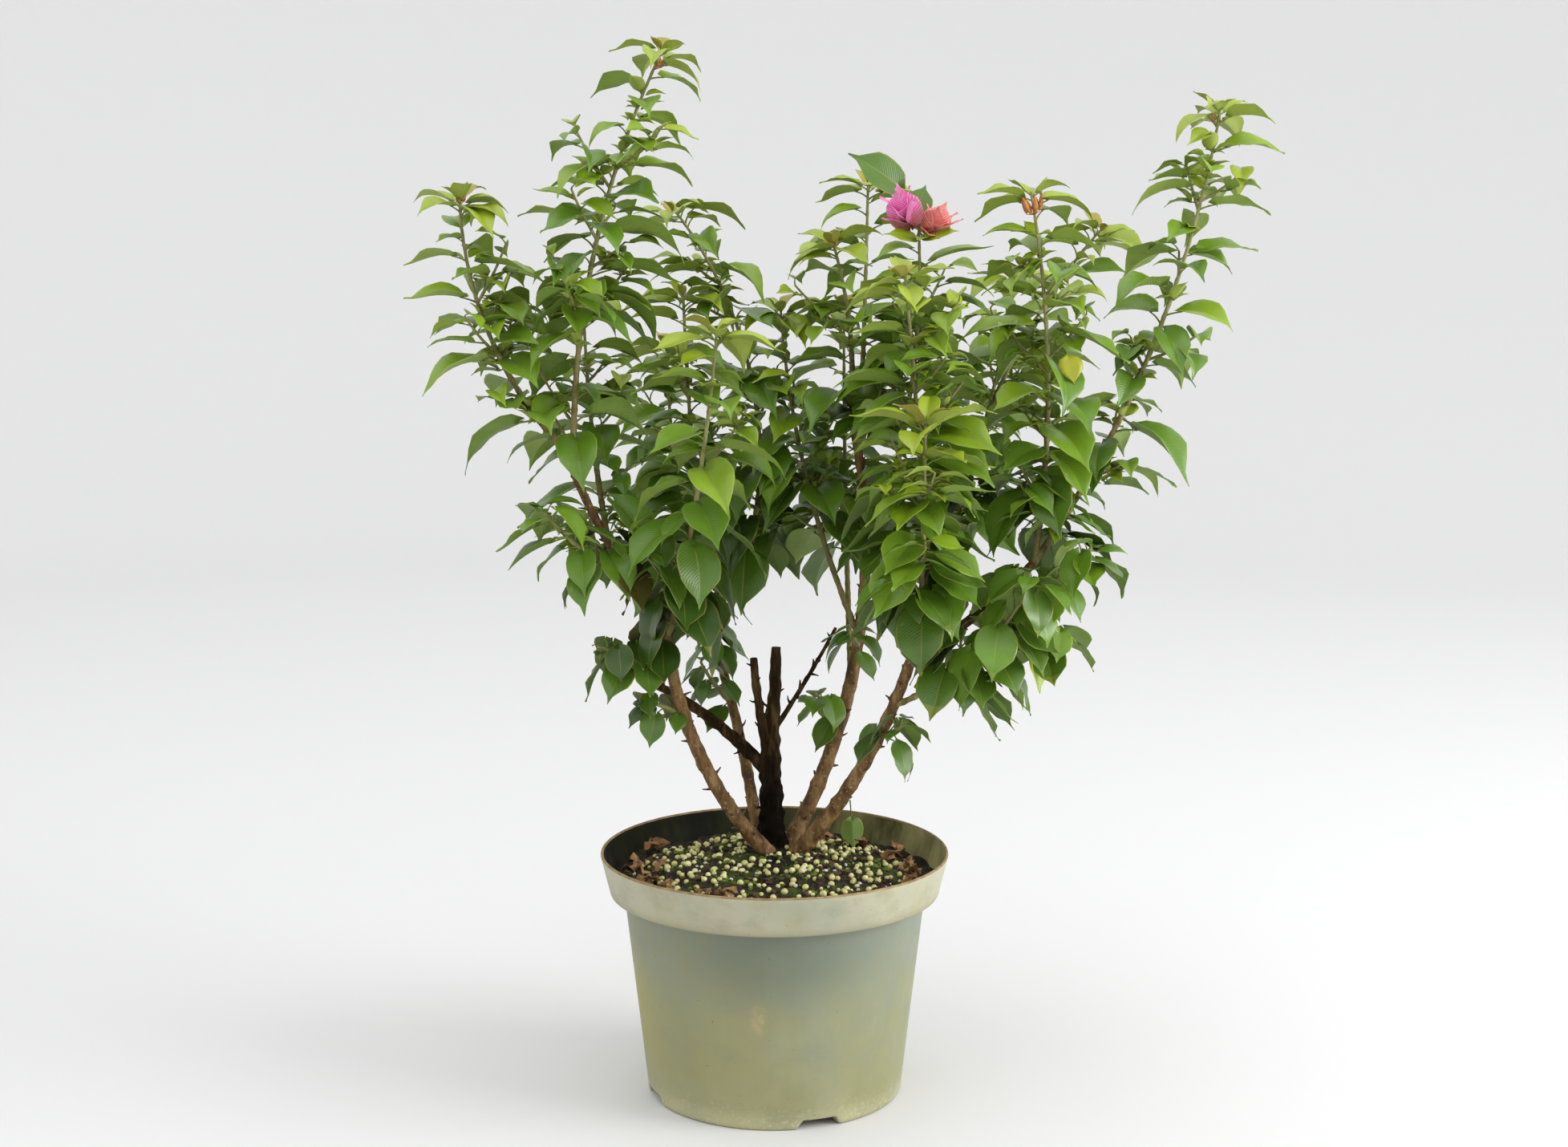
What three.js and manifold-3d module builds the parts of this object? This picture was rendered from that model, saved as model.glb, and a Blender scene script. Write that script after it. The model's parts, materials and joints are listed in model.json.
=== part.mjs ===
// A bougainvillea bush in a round nursery pot: four living stems and an old pruned trunk rise from the
// potting mix, and leafy shoots grow on from them. Millimetres, +Z up, +X to the right, +Y to the back. The
// origin is the middle of the pot's flat underside.
import * as THREE from "three";
import { mergeVertices } from "three/addons/utils/BufferGeometryUtils.js";
import Module from "manifold-3d";

const wasm = await Module();
wasm.setup();

// ---------------------------------------------------------------- driving dimensions

const GAP = 0.3; // left between neighbouring pieces

const POT = {
  height: 180,
  rimRadius: 127,
  lipHeight: 30,
  lipFootRadius: 120.5,
  shoulderRadius: 110,
  footRadius: 94,
  wall: 2.2,
  footDepth: 8,
  footRing: 9,
  bossRadius: 30,
  edge: 1.2,
  facets: 32,
  notches: { count: 4, first: -70, width: 34, topWidth: 25, height: 7 },
};

const SOIL = { top: 172, atWall: 160, plateau: 70 };

const UP = new THREE.Vector3(0, 0, 1);
const DEGREE = Math.PI / 180;
const PATH_STEPS = 8;

// A limb stands on the mix at its foot, or leaves its parent at a share of the parent's length. It heads for
// an azimuth (0 is +X, 90 is +Y), swings evenly from its first lean off the vertical to its last, and tapers.
const LIMBS = [
  { name: "old_trunk", foot: [-2, 30], azimuth: 180, lean: [0, 2], length: 70, radius: [9, 7.6], flare: 3 },
  {
    name: "stub_left",
    parent: "old_trunk",
    at: 0.9,
    azimuth: 205,
    lean: [14, 5],
    length: 84,
    radius: [4, 2.6],
  },
  {
    name: "stub_middle",
    parent: "old_trunk",
    at: 1,
    azimuth: 60,
    lean: [9, 3],
    length: 82,
    radius: [6, 3.4],
  },
  {
    name: "old_branch",
    parent: "old_trunk",
    at: 0.8,
    azimuth: 160,
    lean: [44, 68],
    length: 112,
    radius: [5, 3],
  },
  {
    name: "dead_twig",
    parent: "stub_middle",
    at: 0.22,
    azimuth: 48,
    lean: [50, 42],
    length: 100,
    radius: [2, 1.2],
  },
  {
    name: "stem_left",
    foot: [-5, 17],
    azimuth: 200,
    lean: [43, 4],
    length: 200,
    radius: [5.6, 4],
    flare: 2,
  },
  {
    name: "bough_left",
    parent: "stem_left",
    at: 0.98,
    azimuth: 183,
    lean: [38, 20],
    length: 146,
    radius: [3.6, 2.6],
  },
  {
    name: "stem_back",
    foot: [-12, 50],
    azimuth: 132,
    lean: [12, 28],
    length: 172,
    radius: [4.6, 3],
    flare: 2,
  },
  {
    name: "stem_right_inner",
    foot: [10, 36],
    azimuth: 24,
    lean: [32, -14],
    length: 334,
    radius: [6, 3],
    flare: 2,
  },
  {
    name: "stem_right_outer",
    foot: [17, 20],
    azimuth: 336,
    lean: [42, 12],
    length: 226,
    radius: [6.2, 3.2],
    flare: 2,
  },
  {
    name: "bough_right",
    parent: "stem_right_outer",
    at: 0.8,
    azimuth: 0,
    lean: [62, 42],
    length: 110,
    radius: [3.8, 3],
  },
  {
    name: "bough_behind",
    parent: "stem_right_inner",
    at: 0.56,
    azimuth: 26,
    lean: [66, 44],
    length: 96,
    radius: [3, 2.4],
  },
];

// A mass of leaves grows on one stem, laid out as a limb is. bare is the share of the stem that has no
// leaves, twigs the chance that a node past it bears a side twig, gap the way from node to node, and size
// the mass's leaf size against the usual.
const MASSES = [
  { name: "foliage_far_left", parent: "bough_left", at: 1, azimuth: 168, lean: [45, 1], length: 196 },
  { name: "foliage_tall_left", parent: "bough_left", at: 0.88, azimuth: 12, lean: [-1, 26], length: 304 },
  {
    name: "foliage_left_front",
    parent: "stem_left",
    at: 0.93,
    azimuth: 302,
    lean: [26, 10],
    length: 236,
    bare: 0.04,
  },
  {
    name: "foliage_left_low",
    parent: "bough_left",
    at: 0.3,
    azimuth: 215,
    lean: [66, 40],
    length: 88,
    gap: 9,
  },
  { name: "foliage_left_rear", parent: "bough_left", at: 0.5, azimuth: 105, lean: [48, 8], length: 196 },
  {
    name: "foliage_middle_left",
    parent: "stem_back",
    at: 1,
    azimuth: 238,
    lean: [10, 4],
    length: 250,
    bare: 0.2,
  },
  {
    name: "foliage_left_behind",
    parent: "stem_back",
    at: 0.9,
    azimuth: 172,
    lean: [-28, 38],
    length: 345,
    bare: 0.2,
  },
  {
    name: "foliage_middle_rear",
    parent: "stem_right_inner",
    at: 0.5,
    azimuth: 165,
    lean: [24, 4],
    length: 252,
    bare: 0.3,
  },
  { name: "foliage_middle", parent: "stem_right_inner", at: 1, azimuth: 232, lean: [-6, 27], length: 132 },
  { name: "foliage_behind", parent: "stem_right_inner", at: 0.9, azimuth: 83, lean: [22, 12], length: 212 },
  {
    name: "foliage_blossom",
    parent: "stem_right_inner",
    at: 0.66,
    azimuth: 323,
    lean: [24, -4],
    length: 262,
    blossom: true,
  },
  {
    name: "foliage_middle_front",
    parent: "stem_right_outer",
    at: 1,
    azimuth: 243,
    lean: [8, 14],
    length: 232,
  },
  {
    name: "foliage_front_low",
    parent: "stem_right_outer",
    at: 0.9,
    azimuth: 268,
    lean: [32, 22],
    length: 172,
  },
  {
    name: "foliage_right_front",
    parent: "bough_right",
    at: 1,
    azimuth: 200,
    lean: [-9, 12],
    length: 262,
  },
  { name: "foliage_far_right", parent: "bough_right", at: 1, azimuth: 12, lean: [36, 9], length: 348 },
  { name: "foliage_right_rear", parent: "bough_behind", at: 1, azimuth: 356, lean: [10, 40], length: 252 },
  {
    name: "foliage_low_right",
    parent: "stem_right_outer",
    at: 0.62,
    azimuth: 332,
    lean: [66, 28],
    length: 150,
    bare: 0.3,
    gap: 9,
  },
  {
    name: "foliage_right_low",
    parent: "bough_right",
    at: 0.55,
    azimuth: 342,
    lean: [76, 40],
    length: 92,
    gap: 9,
  },
  {
    name: "foliage_rear_left",
    parent: "stem_back",
    at: 0.78,
    azimuth: 118,
    lean: [40, 4],
    length: 262,
    bare: 0.2,
  },
  {
    name: "foliage_rear",
    parent: "stem_right_inner",
    at: 0.4,
    azimuth: 92,
    lean: [40, 2],
    length: 300,
    bare: 0.35,
  },
  {
    name: "foliage_rear_right",
    parent: "bough_behind",
    at: 0.7,
    azimuth: 48,
    lean: [44, 6],
    length: 236,
    bare: 0.1,
  },
  {
    name: "sprig_left",
    parent: "stem_back",
    at: 0.62,
    azimuth: 220,
    lean: [50, 30],
    length: 46,
    size: 0.66,
    gap: 7,
  },
  {
    name: "sprig_middle",
    parent: "stem_right_inner",
    at: 0.33,
    azimuth: 195,
    lean: [66, 50],
    length: 26,
    size: 0.66,
    gap: 6,
  },
  {
    name: "sprig_right",
    parent: "stem_right_outer",
    at: 0.5,
    azimuth: 300,
    lean: [70, 60],
    length: 34,
    size: 0.78,
    gap: 7,
  },
  {
    name: "sprig_inner",
    parent: "stem_right_inner",
    at: 0.48,
    azimuth: 262,
    lean: [70, 60],
    length: 40,
    size: 0.8,
    gap: 8,
  },
  {
    name: "sprig_far_left",
    parent: "stem_left",
    at: 0.64,
    azimuth: 190,
    lean: [62, 76],
    length: 34,
    size: 0.74,
    gap: 8,
  },
  {
    name: "sprig_left_top",
    parent: "stem_left",
    at: 0.86,
    azimuth: 205,
    lean: [82, 72],
    length: 56,
    size: 0.9,
    gap: 9,
  },
  {
    name: "sprig_back",
    parent: "stem_back",
    at: 0.85,
    azimuth: 255,
    lean: [60, 40],
    length: 52,
    size: 0.85,
    gap: 8,
  },
];

const LIMB = { sides: 8, flareReach: 14, simplify: 0.1 };

const SHOOT = { radius: [2.5, 1], sides: 3, bare: 0.06, twigs: 0.24, give: 10 };

const LEAF = {
  gap: 14, // between two nodes of a stem
  tipGap: 6, // at the stem's tip
  tipReach: 34,
  twigGap: 12, // between two nodes of a side twig
  turn: 137.5, // from one leaf to the next round the stem
  young: 16, // length at a shoot's tip
  grown: 55, // length from grownBelow on down, most of it gained near the tip
  grownBelow: 62,
  widest: 0.38, // share of the length
  halfWidth: 0.35,
  petiole: 0.24,
  petioleLean: 58, // off the stem
  droop: [-4, 22], // of a young and of an old leaf
  tipRise: 46, // of a leaf at the very tip, over and above that
  tipRiseOver: 12,
  oldAt: 180, // from the tip
  hang: 40, // added low in the crown
  hangFrom: 470,
  hangOver: 140,
  tries: [0, 32, -32, 64, -64], // turned so far, a leaf may still find room
  arch: 0.07, // how high the sides stand over root and tip
  rootDepth: 0.3, // past the middle line of the stem, against its radius
  roll: 26,
};

const TWIG = { length: [24, 58], lean: 52, rise: 24, fromTip: 55, radius: [1.3, 0.8] };

const BRACTS = { count: 6, length: 27, halfWidth: 0.36, lean: [24, 66], below: 0.03 };

const SEED = 4127;

// ---------------------------------------------------------------- seeded draws

// The same whole-number sequence on any machine.
function makeDraw(seed) {
  let state = seed;
  return (low, high) => {
    state = (state * 16807) % 2147483647;
    return low + (high - low) * (state / 2147483647);
  };
}

const mix = (a, b, t) => a + (b - a) * t;
const clamp01 = (t) => Math.min(1, Math.max(0, t));

// ---------------------------------------------------------------- paths and frames

function heading(azimuth, lean) {
  const a = azimuth * DEGREE;
  const l = lean * DEGREE;
  return new THREE.Vector3(Math.sin(l) * Math.cos(a), Math.sin(l) * Math.sin(a), Math.cos(l));
}

function makePath(start, { azimuth, lean, length }) {
  const points = [start.clone()];
  for (let i = 0; i < PATH_STEPS; i++) {
    const way = heading(azimuth, mix(lean[0], lean[1], (i + 0.5) / PATH_STEPS));
    points.push(points[i].clone().addScaledVector(way, length / PATH_STEPS));
  }
  return points;
}

// The point a share of the way along a path, with the frame there: along it, and two ways across it.
function frameAt(points, share) {
  const place = clamp01(share) * (points.length - 1);
  const i = Math.min(Math.floor(place), points.length - 2);
  const along = points[i + 1].clone().sub(points[i]).normalize();
  const across = new THREE.Vector3(0, 1, 0).addScaledVector(along, -along.y).normalize();
  return {
    point: points[i].clone().lerp(points[i + 1], place - i),
    along,
    across,
    side: across.clone().cross(along),
  };
}

// ---------------------------------------------------------------- solids

// A closed mesh as a manifold-3d solid.
function solidFrom(geometry) {
  const bare = new THREE.BufferGeometry();
  bare.setAttribute("position", geometry.getAttribute("position"));
  if (geometry.index) bare.setIndex(geometry.index);
  const merged = mergeVertices(bare, 1e-4);
  return new wasm.Manifold(
    new wasm.Mesh({
      numProp: 3,
      vertProperties: merged.attributes.position.array,
      triVerts: new Uint32Array(merged.index.array),
    }),
  );
}

function geometryFrom(solid) {
  const { numProp, numVert, vertProperties, triVerts } = solid.getMesh();
  const positions = new Float32Array(numVert * 3);
  for (let i = 0; i < numVert; i++) {
    positions.set(vertProperties.subarray(i * numProp, i * numProp + 3), i * 3);
  }
  const geometry = new THREE.BufferGeometry();
  geometry.setAttribute("position", new THREE.BufferAttribute(positions, 3));
  geometry.setIndex(new THREE.BufferAttribute(triVerts, 1));
  geometry.computeVertexNormals();
  return geometry;
}

// A tapering tube: a cylinder whose rings are carried onto the path. radiusAt gives its radius there.
function tube(points, radiusAt, sides, steps = PATH_STEPS) {
  const geometry = new THREE.CylinderGeometry(1, 1, 1, sides, steps);
  const position = geometry.getAttribute("position");
  const vertex = new THREE.Vector3();
  for (let i = 0; i < position.count; i++) {
    vertex.fromBufferAttribute(position, i);
    const share = vertex.y + 0.5;
    const { point, across, side } = frameAt(points, share);
    const radius = radiusAt(share);
    point.addScaledVector(across, vertex.x * radius).addScaledVector(side, vertex.z * radius);
    position.setXYZ(i, point.x, point.y, point.z);
  }
  return solidFrom(geometry);
}

// A leaf of four faces: a tetrahedron whose corners are carried to the leaf's own. Its top folds from side to
// side, and its underside has the keel from root to tip.
function blade({ root, tip, left, right }) {
  const geometry = new THREE.TetrahedronGeometry(1);
  const position = geometry.getAttribute("position");
  for (let i = 0; i < position.count; i++) {
    const [end, side] = [position.getX(i) > 0, position.getY(i) > 0];
    const corner = end ? (side ? tip : left) : side ? right : root;
    position.setXYZ(i, corner.x, corner.y, corner.z);
  }
  return solidFrom(geometry);
}

// ---------------------------------------------------------------- pot and mix

function potProfile(inset) {
  const { height, rimRadius, lipHeight, lipFootRadius, shoulderRadius, footRadius, edge } = POT;
  const lipFoot = height - lipHeight;
  return [
    [footRadius - inset, POT.footDepth + inset],
    [shoulderRadius - inset, lipFoot - edge + (inset ? edge : 0)],
    [lipFootRadius - edge - inset, lipFoot + (inset ? edge + inset : 0)],
    [lipFootRadius - inset, lipFoot + 2 * edge + inset],
    [rimRadius - inset, height - edge],
  ];
}

function lathe(profile, facets) {
  const points = profile.map(([x, y]) => new THREE.Vector2(x, y));
  return solidFrom(new THREE.LatheGeometry(points, facets).rotateX(Math.PI / 2));
}

function makePot() {
  const { height, rimRadius, wall, footDepth, footRing, bossRadius, footRadius, edge, facets, notches } = POT;
  const outer = potProfile(0).slice(1);
  const inner = potProfile(wall).reverse();
  let pot = lathe(
    [
      [0, 0],
      [bossRadius, 0],
      [bossRadius, footDepth],
      [footRadius - footRing, footDepth],
      [footRadius - footRing, 0],
      [footRadius - edge, 0],
      [footRadius, 2 * edge],
      ...outer,
      [rimRadius - wall / 2, height],
      ...inner,
      [0, footDepth + wall],
    ],
    facets,
  );
  const outline = new THREE.Shape([
    new THREE.Vector2(-notches.width / 2, -1),
    new THREE.Vector2(notches.width / 2, -1),
    new THREE.Vector2(notches.topWidth / 2, notches.height),
    new THREE.Vector2(-notches.topWidth / 2, notches.height),
  ]);
  for (let i = 0; i < notches.count; i++) {
    const notch = new THREE.ExtrudeGeometry(outline, { depth: footRing * 4, bevelEnabled: false });
    notch.rotateX(Math.PI / 2);
    notch.translate(0, footRadius + footRing, 0);
    notch.rotateZ((notches.first - 90 + (360 / notches.count) * i) * DEGREE);
    pot = pot.subtract(solidFrom(notch));
  }
  return pot;
}

function makeMix() {
  const inner = potProfile(POT.wall + GAP);
  const [below, wallTop] = inner.slice(-2);
  const rise = (SOIL.atWall - below[1]) / (wallTop[1] - below[1]);
  return lathe(
    [
      [0, inner[0][1]],
      ...inner.slice(0, -1),
      [mix(below[0], wallTop[0], rise), SOIL.atWall],
      [SOIL.plateau, SOIL.top],
      [0, SOIL.top],
    ],
    POT.facets,
  );
}

// ---------------------------------------------------------------- limbs

const limbs = new Map();

function radiusLaw({ radius, flare = 0, length }) {
  const flareAt = (share) => flare * Math.exp((-share * length) / LIMB.flareReach);
  return (share) => mix(radius[0], radius[1], share) + flareAt(share);
}

// Where a limb or a leafy stem starts: on the mix, or on its parent's middle line.
function startOf({ foot, parent, at }) {
  if (foot) return new THREE.Vector3(foot[0], foot[1], SOIL.top + GAP);
  return frameAt(limbs.get(parent).points, at).point;
}

// A path that runs on a little past both of its ends.
function runOn(points, reach) {
  const longer = points.map((point) => point.clone());
  longer[0].addScaledVector(frameAt(points, 0).along, -reach);
  longer.at(-1).addScaledVector(frameAt(points, 1).along, reach);
  return longer;
}

// A tube, and the room it takes: the same tube, larger by the gap all round.
function tubeWithRoom(points, radiusAt, sides, steps) {
  return withRoom(
    tube(points, radiusAt, sides, steps),
    tube(runOn(points, GAP), (share) => radiusAt(share) + GAP, sides, steps),
  );
}

function withRoom(solid, room) {
  const { min, max } = room.boundingBox();
  return { solid, room, min, max };
}

// The main body of a cut solid, without the scraps that a cut leaves.
function largest(solid) {
  const bodies = solid.simplify(LIMB.simplify).decompose();
  return bodies.reduce((best, body) => (body.volume() > best.volume() ? body : best));
}

// Each limb is cut clear of those before it. A stem's foot is cut level on the mix.
function growLimbs() {
  for (const row of LIMBS) {
    const points = makePath(startOf(row), row);
    const path = row.foot ? runOn(points, row.radius[0] + row.flare) : points;
    const { solid, room } = tubeWithRoom(path, radiusLaw(row), LIMB.sides, PATH_STEPS);
    const cut = [...limbs.values()].reduce((rest, earlier) => rest.subtract(earlier.room), solid);
    const level = row.foot ? cut.trimByPlane([0, 0, 1], SOIL.top + GAP) : cut;
    limbs.set(row.name, { points, ...withRoom(largest(level), room) });
  }
}

// ---------------------------------------------------------------- leaves

// Where one leaf goes: its root on the stem, its blade from base to tip, and the way its face looks.
function leafPose({ frame, turn, size, age, fromTip, roll, share }) {
  const radial = frame.across.clone().multiplyScalar(Math.cos(turn * DEGREE));
  radial.addScaledVector(frame.side, Math.sin(turn * DEGREE));
  const stalkLean = LEAF.petioleLean * DEGREE;
  const stalk = frame.along.clone().multiplyScalar(Math.cos(stalkLean));
  stalk.addScaledVector(radial, Math.sin(stalkLean));
  const out = new THREE.Vector3(radial.x + stalk.x, radial.y + stalk.y, 0).normalize();
  const low = clamp01((LEAF.hangFrom - frame.point.z) / LEAF.hangOver);
  const rise = LEAF.tipRise * clamp01(1 - fromTip / LEAF.tipRiseOver);
  const droop = (mix(LEAF.droop[0], LEAF.droop[1], age) + LEAF.hang * low - rise) * DEGREE;
  const way = out.clone().multiplyScalar(Math.cos(droop)).addScaledVector(UP, -Math.sin(droop));
  const face = out.clone().multiplyScalar(Math.sin(droop)).addScaledVector(UP, Math.cos(droop));
  face.applyAxisAngle(way, roll * DEGREE);
  const base = frame.point.clone().addScaledVector(stalk, size * LEAF.petiole);
  return {
    size,
    share,
    stalk,
    face,
    side: way.clone().cross(face),
    root: frame.point,
    middle: base.clone().addScaledVector(way, size * LEAF.widest),
    tip: base.clone().addScaledVector(way, size),
  };
}

// The leaf, and with some swell the room that it takes.
function leafSolid(pose, stemRadius, swell = 0) {
  const { size, stalk, face, side, root, middle, tip, halfWidth = LEAF.halfWidth } = pose;
  const crease = middle.clone().addScaledVector(face, size * LEAF.arch + swell);
  return blade({
    root: root.clone().addScaledVector(stalk, -LEAF.rootDepth * stemRadius).addScaledVector(face, -swell),
    tip: tip.clone().addScaledVector(face, -swell),
    right: crease.clone().addScaledVector(side, size * halfWidth + swell),
    left: crease.clone().addScaledVector(side, -size * halfWidth - swell),
  });
}

// Where the nodes lie, as shares of the stem. They crowd together at its tip.
function nodesAlong(length, bare, gap) {
  const nodes = [];
  let place = bare * length;
  while (place < length) {
    nodes.push(place / length);
    place += mix(LEAF.tipGap, gap, clamp01((length - place) / LEAF.tipReach));
  }
  return [...nodes, 1];
}

// The site of every leaf and side twig of one mass, node by node.
function layOut(mass, points, draw) {
  const { length, bare = SHOOT.bare, twigs = SHOOT.twigs, size: scale = 1, gap = LEAF.gap } = mass;
  const leaves = [];
  const sideTwigs = [];
  let turn = draw(0, 360);
  for (const share of nodesAlong(length, bare, gap)) {
    const frame = frameAt(points, share);
    const fromTip = length * (1 - share);
    const age = clamp01(fromTip / LEAF.oldAt);
    const grown = Math.sqrt(clamp01(fromTip / LEAF.grownBelow));
    const size = scale * mix(LEAF.young, LEAF.grown, grown) * draw(0.8, 1.08);
    leaves.push({ frame, turn, size, age, fromTip, roll: draw(-LEAF.roll, LEAF.roll), share });
    const sideLength = scale * draw(TWIG.length[0], TWIG.length[1]);
    const sideTurn = turn + draw(120, 240);
    if (draw(0, 1) < twigs && fromTip > TWIG.fromTip) {
      sideTwigs.push(growTwig(frame, sideTurn, sideLength, age, draw));
    }
    turn += LEAF.turn + draw(-16, 16);
  }
  return { leaves, sideTwigs };
}

// A side twig with leaves on alternate sides and one at its tip.
function growTwig(frame, turn, length, age, draw) {
  const radial = frame.across.clone().multiplyScalar(Math.cos(turn * DEGREE));
  radial.addScaledVector(frame.side, Math.sin(turn * DEGREE));
  const lean = TWIG.lean * DEGREE;
  const way = frame.along.clone().multiplyScalar(Math.cos(lean)).addScaledVector(radial, Math.sin(lean));
  const bent = way.clone().addScaledVector(UP, Math.tan(TWIG.rise * DEGREE)).normalize();
  const elbow = frame.point.clone().addScaledVector(way, length / 2);
  const points = [frame.point, elbow, elbow.clone().addScaledVector(bent, length / 2)];
  const leaves = [];
  const count = Math.max(2, Math.round(length / LEAF.twigGap));
  for (let i = 1; i <= count; i++) {
    const share = i / count;
    leaves.push({
      frame: frameAt(points, share),
      turn: turn + 90 + 180 * (i % 2) + draw(-40, 40),
      size: LEAF.grown * mix(0.8, 0.5, share) * draw(0.8, 1.1),
      age: age * (1 - share / 2),
      fromTip: length * (1 - share) + LEAF.tipRiseOver,
      roll: draw(-LEAF.roll, LEAF.roll),
      share,
    });
  }
  return { points, leaves };
}

// ---------------------------------------------------------------- each mass keeps to its own space

// The distance from a point to a path.
function distanceTo(points, place) {
  const nearest = new THREE.Vector3();
  let best = Infinity;
  for (let i = 1; i < points.length; i++) {
    new THREE.Line3(points[i - 1], points[i]).closestPointToPoint(place, true, nearest);
    best = Math.min(best, nearest.distanceTo(place));
  }
  return best;
}

// A mass's space is what lies nearer to its stem than to any other mass's stem, give or take a little.
function inOwnSpace(name, stems, places) {
  return places.every((place) => {
    const own = distanceTo(stems.get(name), place) - SHOOT.give;
    return [...stems].every(([other, points]) => other === name || distanceTo(points, place) > own);
  });
}

// Whether two pieces share any room. Most pairs are told apart by their boxes, without a cut.
function touches(a, b) {
  if ([0, 1, 2].some((k) => a.min[k] > b.max[k] || b.min[k] > a.max[k])) return false;
  const shared = a.solid.intersect(b.room);
  const touching = shared.volume() > 0;
  shared.delete();
  return touching;
}

const taper = ([from, to]) => (share) => mix(from, to, share);

function leafWithRoom(pose, stemRadius) {
  return withRoom(leafSolid(pose, stemRadius), leafSolid(pose, stemRadius, GAP));
}

// The places of a leaf that have to lie in its mass's space.
function leafPlaces({ middle, tip, side, size }) {
  const edges = [-1, 1].map((way) => middle.clone().addScaledVector(side, way * size * LEAF.halfWidth));
  return [tip, middle, ...edges];
}

// The stems of all masses, each cut clear of the limbs and of the stems before it.
function growStems() {
  const stems = new Map();
  for (const mass of MASSES) {
    const points = makePath(startOf(mass), mass);
    const { solid, room } = tubeWithRoom(points, taper(SHOOT.radius), SHOOT.sides, PATH_STEPS);
    const before = [...limbs.values(), ...stems.values()];
    const cut = before.reduce((rest, earlier) => rest.subtract(earlier.room), solid);
    stems.set(mass.name, { points, ...withRoom(largest(cut), room) });
  }
  return stems;
}

// A mass is its stem with every side twig and leaf that keeps to its space and touches no limb, no other mass
// and no leaf of its own.
function growMasses() {
  const stems = growStems();
  const paths = new Map([...stems].map(([name, { points }]) => [name, points]));
  const draw = makeDraw(SEED);
  const placed = [];
  return MASSES.map((mass) => {
    const { name } = mass;
    const stem = stems.get(name);
    const others = [...stems].filter(([other]) => other !== name).map(([, piece]) => piece);
    const blocked = [...limbs.values(), ...others, ...placed];
    const wood = [stem];
    const blades = [];
    const addIfFree = (list, piece, places, near) => {
      const clear = () => ![...blocked, ...near].some((other) => touches(piece, other));
      const fits = inOwnSpace(name, paths, places) && clear();
      if (fits) list.push(piece);
      return fits;
    };
    const addLeaf = (site, radiusAt) =>
      LEAF.tries.some((shift) => {
        const pose = leafPose({ ...site, turn: site.turn + shift });
        return addIfFree(blades, leafWithRoom(pose, radiusAt(pose.share)), leafPlaces(pose), blades);
      });
    const { leaves, sideTwigs } = layOut(mass, stem.points, draw);
    if (mass.blossom) blades.push(...bracts(stem.points));
    leaves.forEach((site) => addLeaf(site, taper(SHOOT.radius)));
    for (const twig of sideTwigs) {
      const piece = tubeWithRoom(twig.points, taper(TWIG.radius), SHOOT.sides, 2);
      if (!addIfFree(wood, piece, twig.points.slice(1), [])) continue;
      twig.leaves.forEach((site) => addLeaf(site, taper(TWIG.radius)));
    }
    const own = [...wood, ...blades];
    placed.push(...own);
    return { name, solid: largest(wasm.Manifold.union(own.map(({ solid }) => solid))) };
  });
}

// The papery bracts round the flowering tip, the outer ring more open than the inner.
function bracts(stem) {
  const { count, length, halfWidth, lean, below } = BRACTS;
  return Array.from({ length: count }, (_, i) => {
    const { point } = frameAt(stem, 1 - below * (i % 2));
    const way = heading((360 / count) * i, lean[i % 2]);
    const side = heading((360 / count) * i + 90, 90);
    const pose = {
      size: length,
      halfWidth,
      stalk: way,
      face: side.clone().cross(way),
      side,
      root: point,
      middle: point.clone().addScaledVector(way, length / 2),
      tip: point.clone().addScaledVector(way, length),
    };
    return leafWithRoom(pose, SHOOT.radius[1]);
  });
}

// ---------------------------------------------------------------- the bush

const look = (name, color, roughness) =>
  new THREE.MeshStandardMaterial({ name, color, roughness, metalness: 0 });

const LOOKS = {
  pot: look("pot", "#a9ab8c", 0.6),
  mix: look("potting mix", "#4a4130", 1),
  oldWood: look("old wood", "#2b241c", 0.95),
  bark: look("bark", "#7a6046", 0.85),
  leaf: look("leaf", "#5f8230", 0.55),
};

const OLD_WOOD = ["old_trunk", "stub_left", "stub_middle", "old_branch", "dead_twig"];

const bush = new THREE.Group();

function addPiece(name, solid, material) {
  const mesh = new THREE.Mesh(geometryFrom(solid), material);
  mesh.name = name;
  bush.add(mesh);
}

addPiece("pot", makePot(), LOOKS.pot);
addPiece("potting_mix", makeMix(), LOOKS.mix);
growLimbs();
for (const [name, { solid }] of limbs) {
  addPiece(name, solid, OLD_WOOD.includes(name) ? LOOKS.oldWood : LOOKS.bark);
}
for (const { name, solid } of growMasses()) addPiece(name, solid, LOOKS.leaf);

export default bush;
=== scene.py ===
"""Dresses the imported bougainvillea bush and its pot: bark, leaves, blossom, potting mix and a weathered pot.

The plant grows by the rule of the part's source, in millimetres, and every mesh is made in metres.
"""
import json
import math

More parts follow.
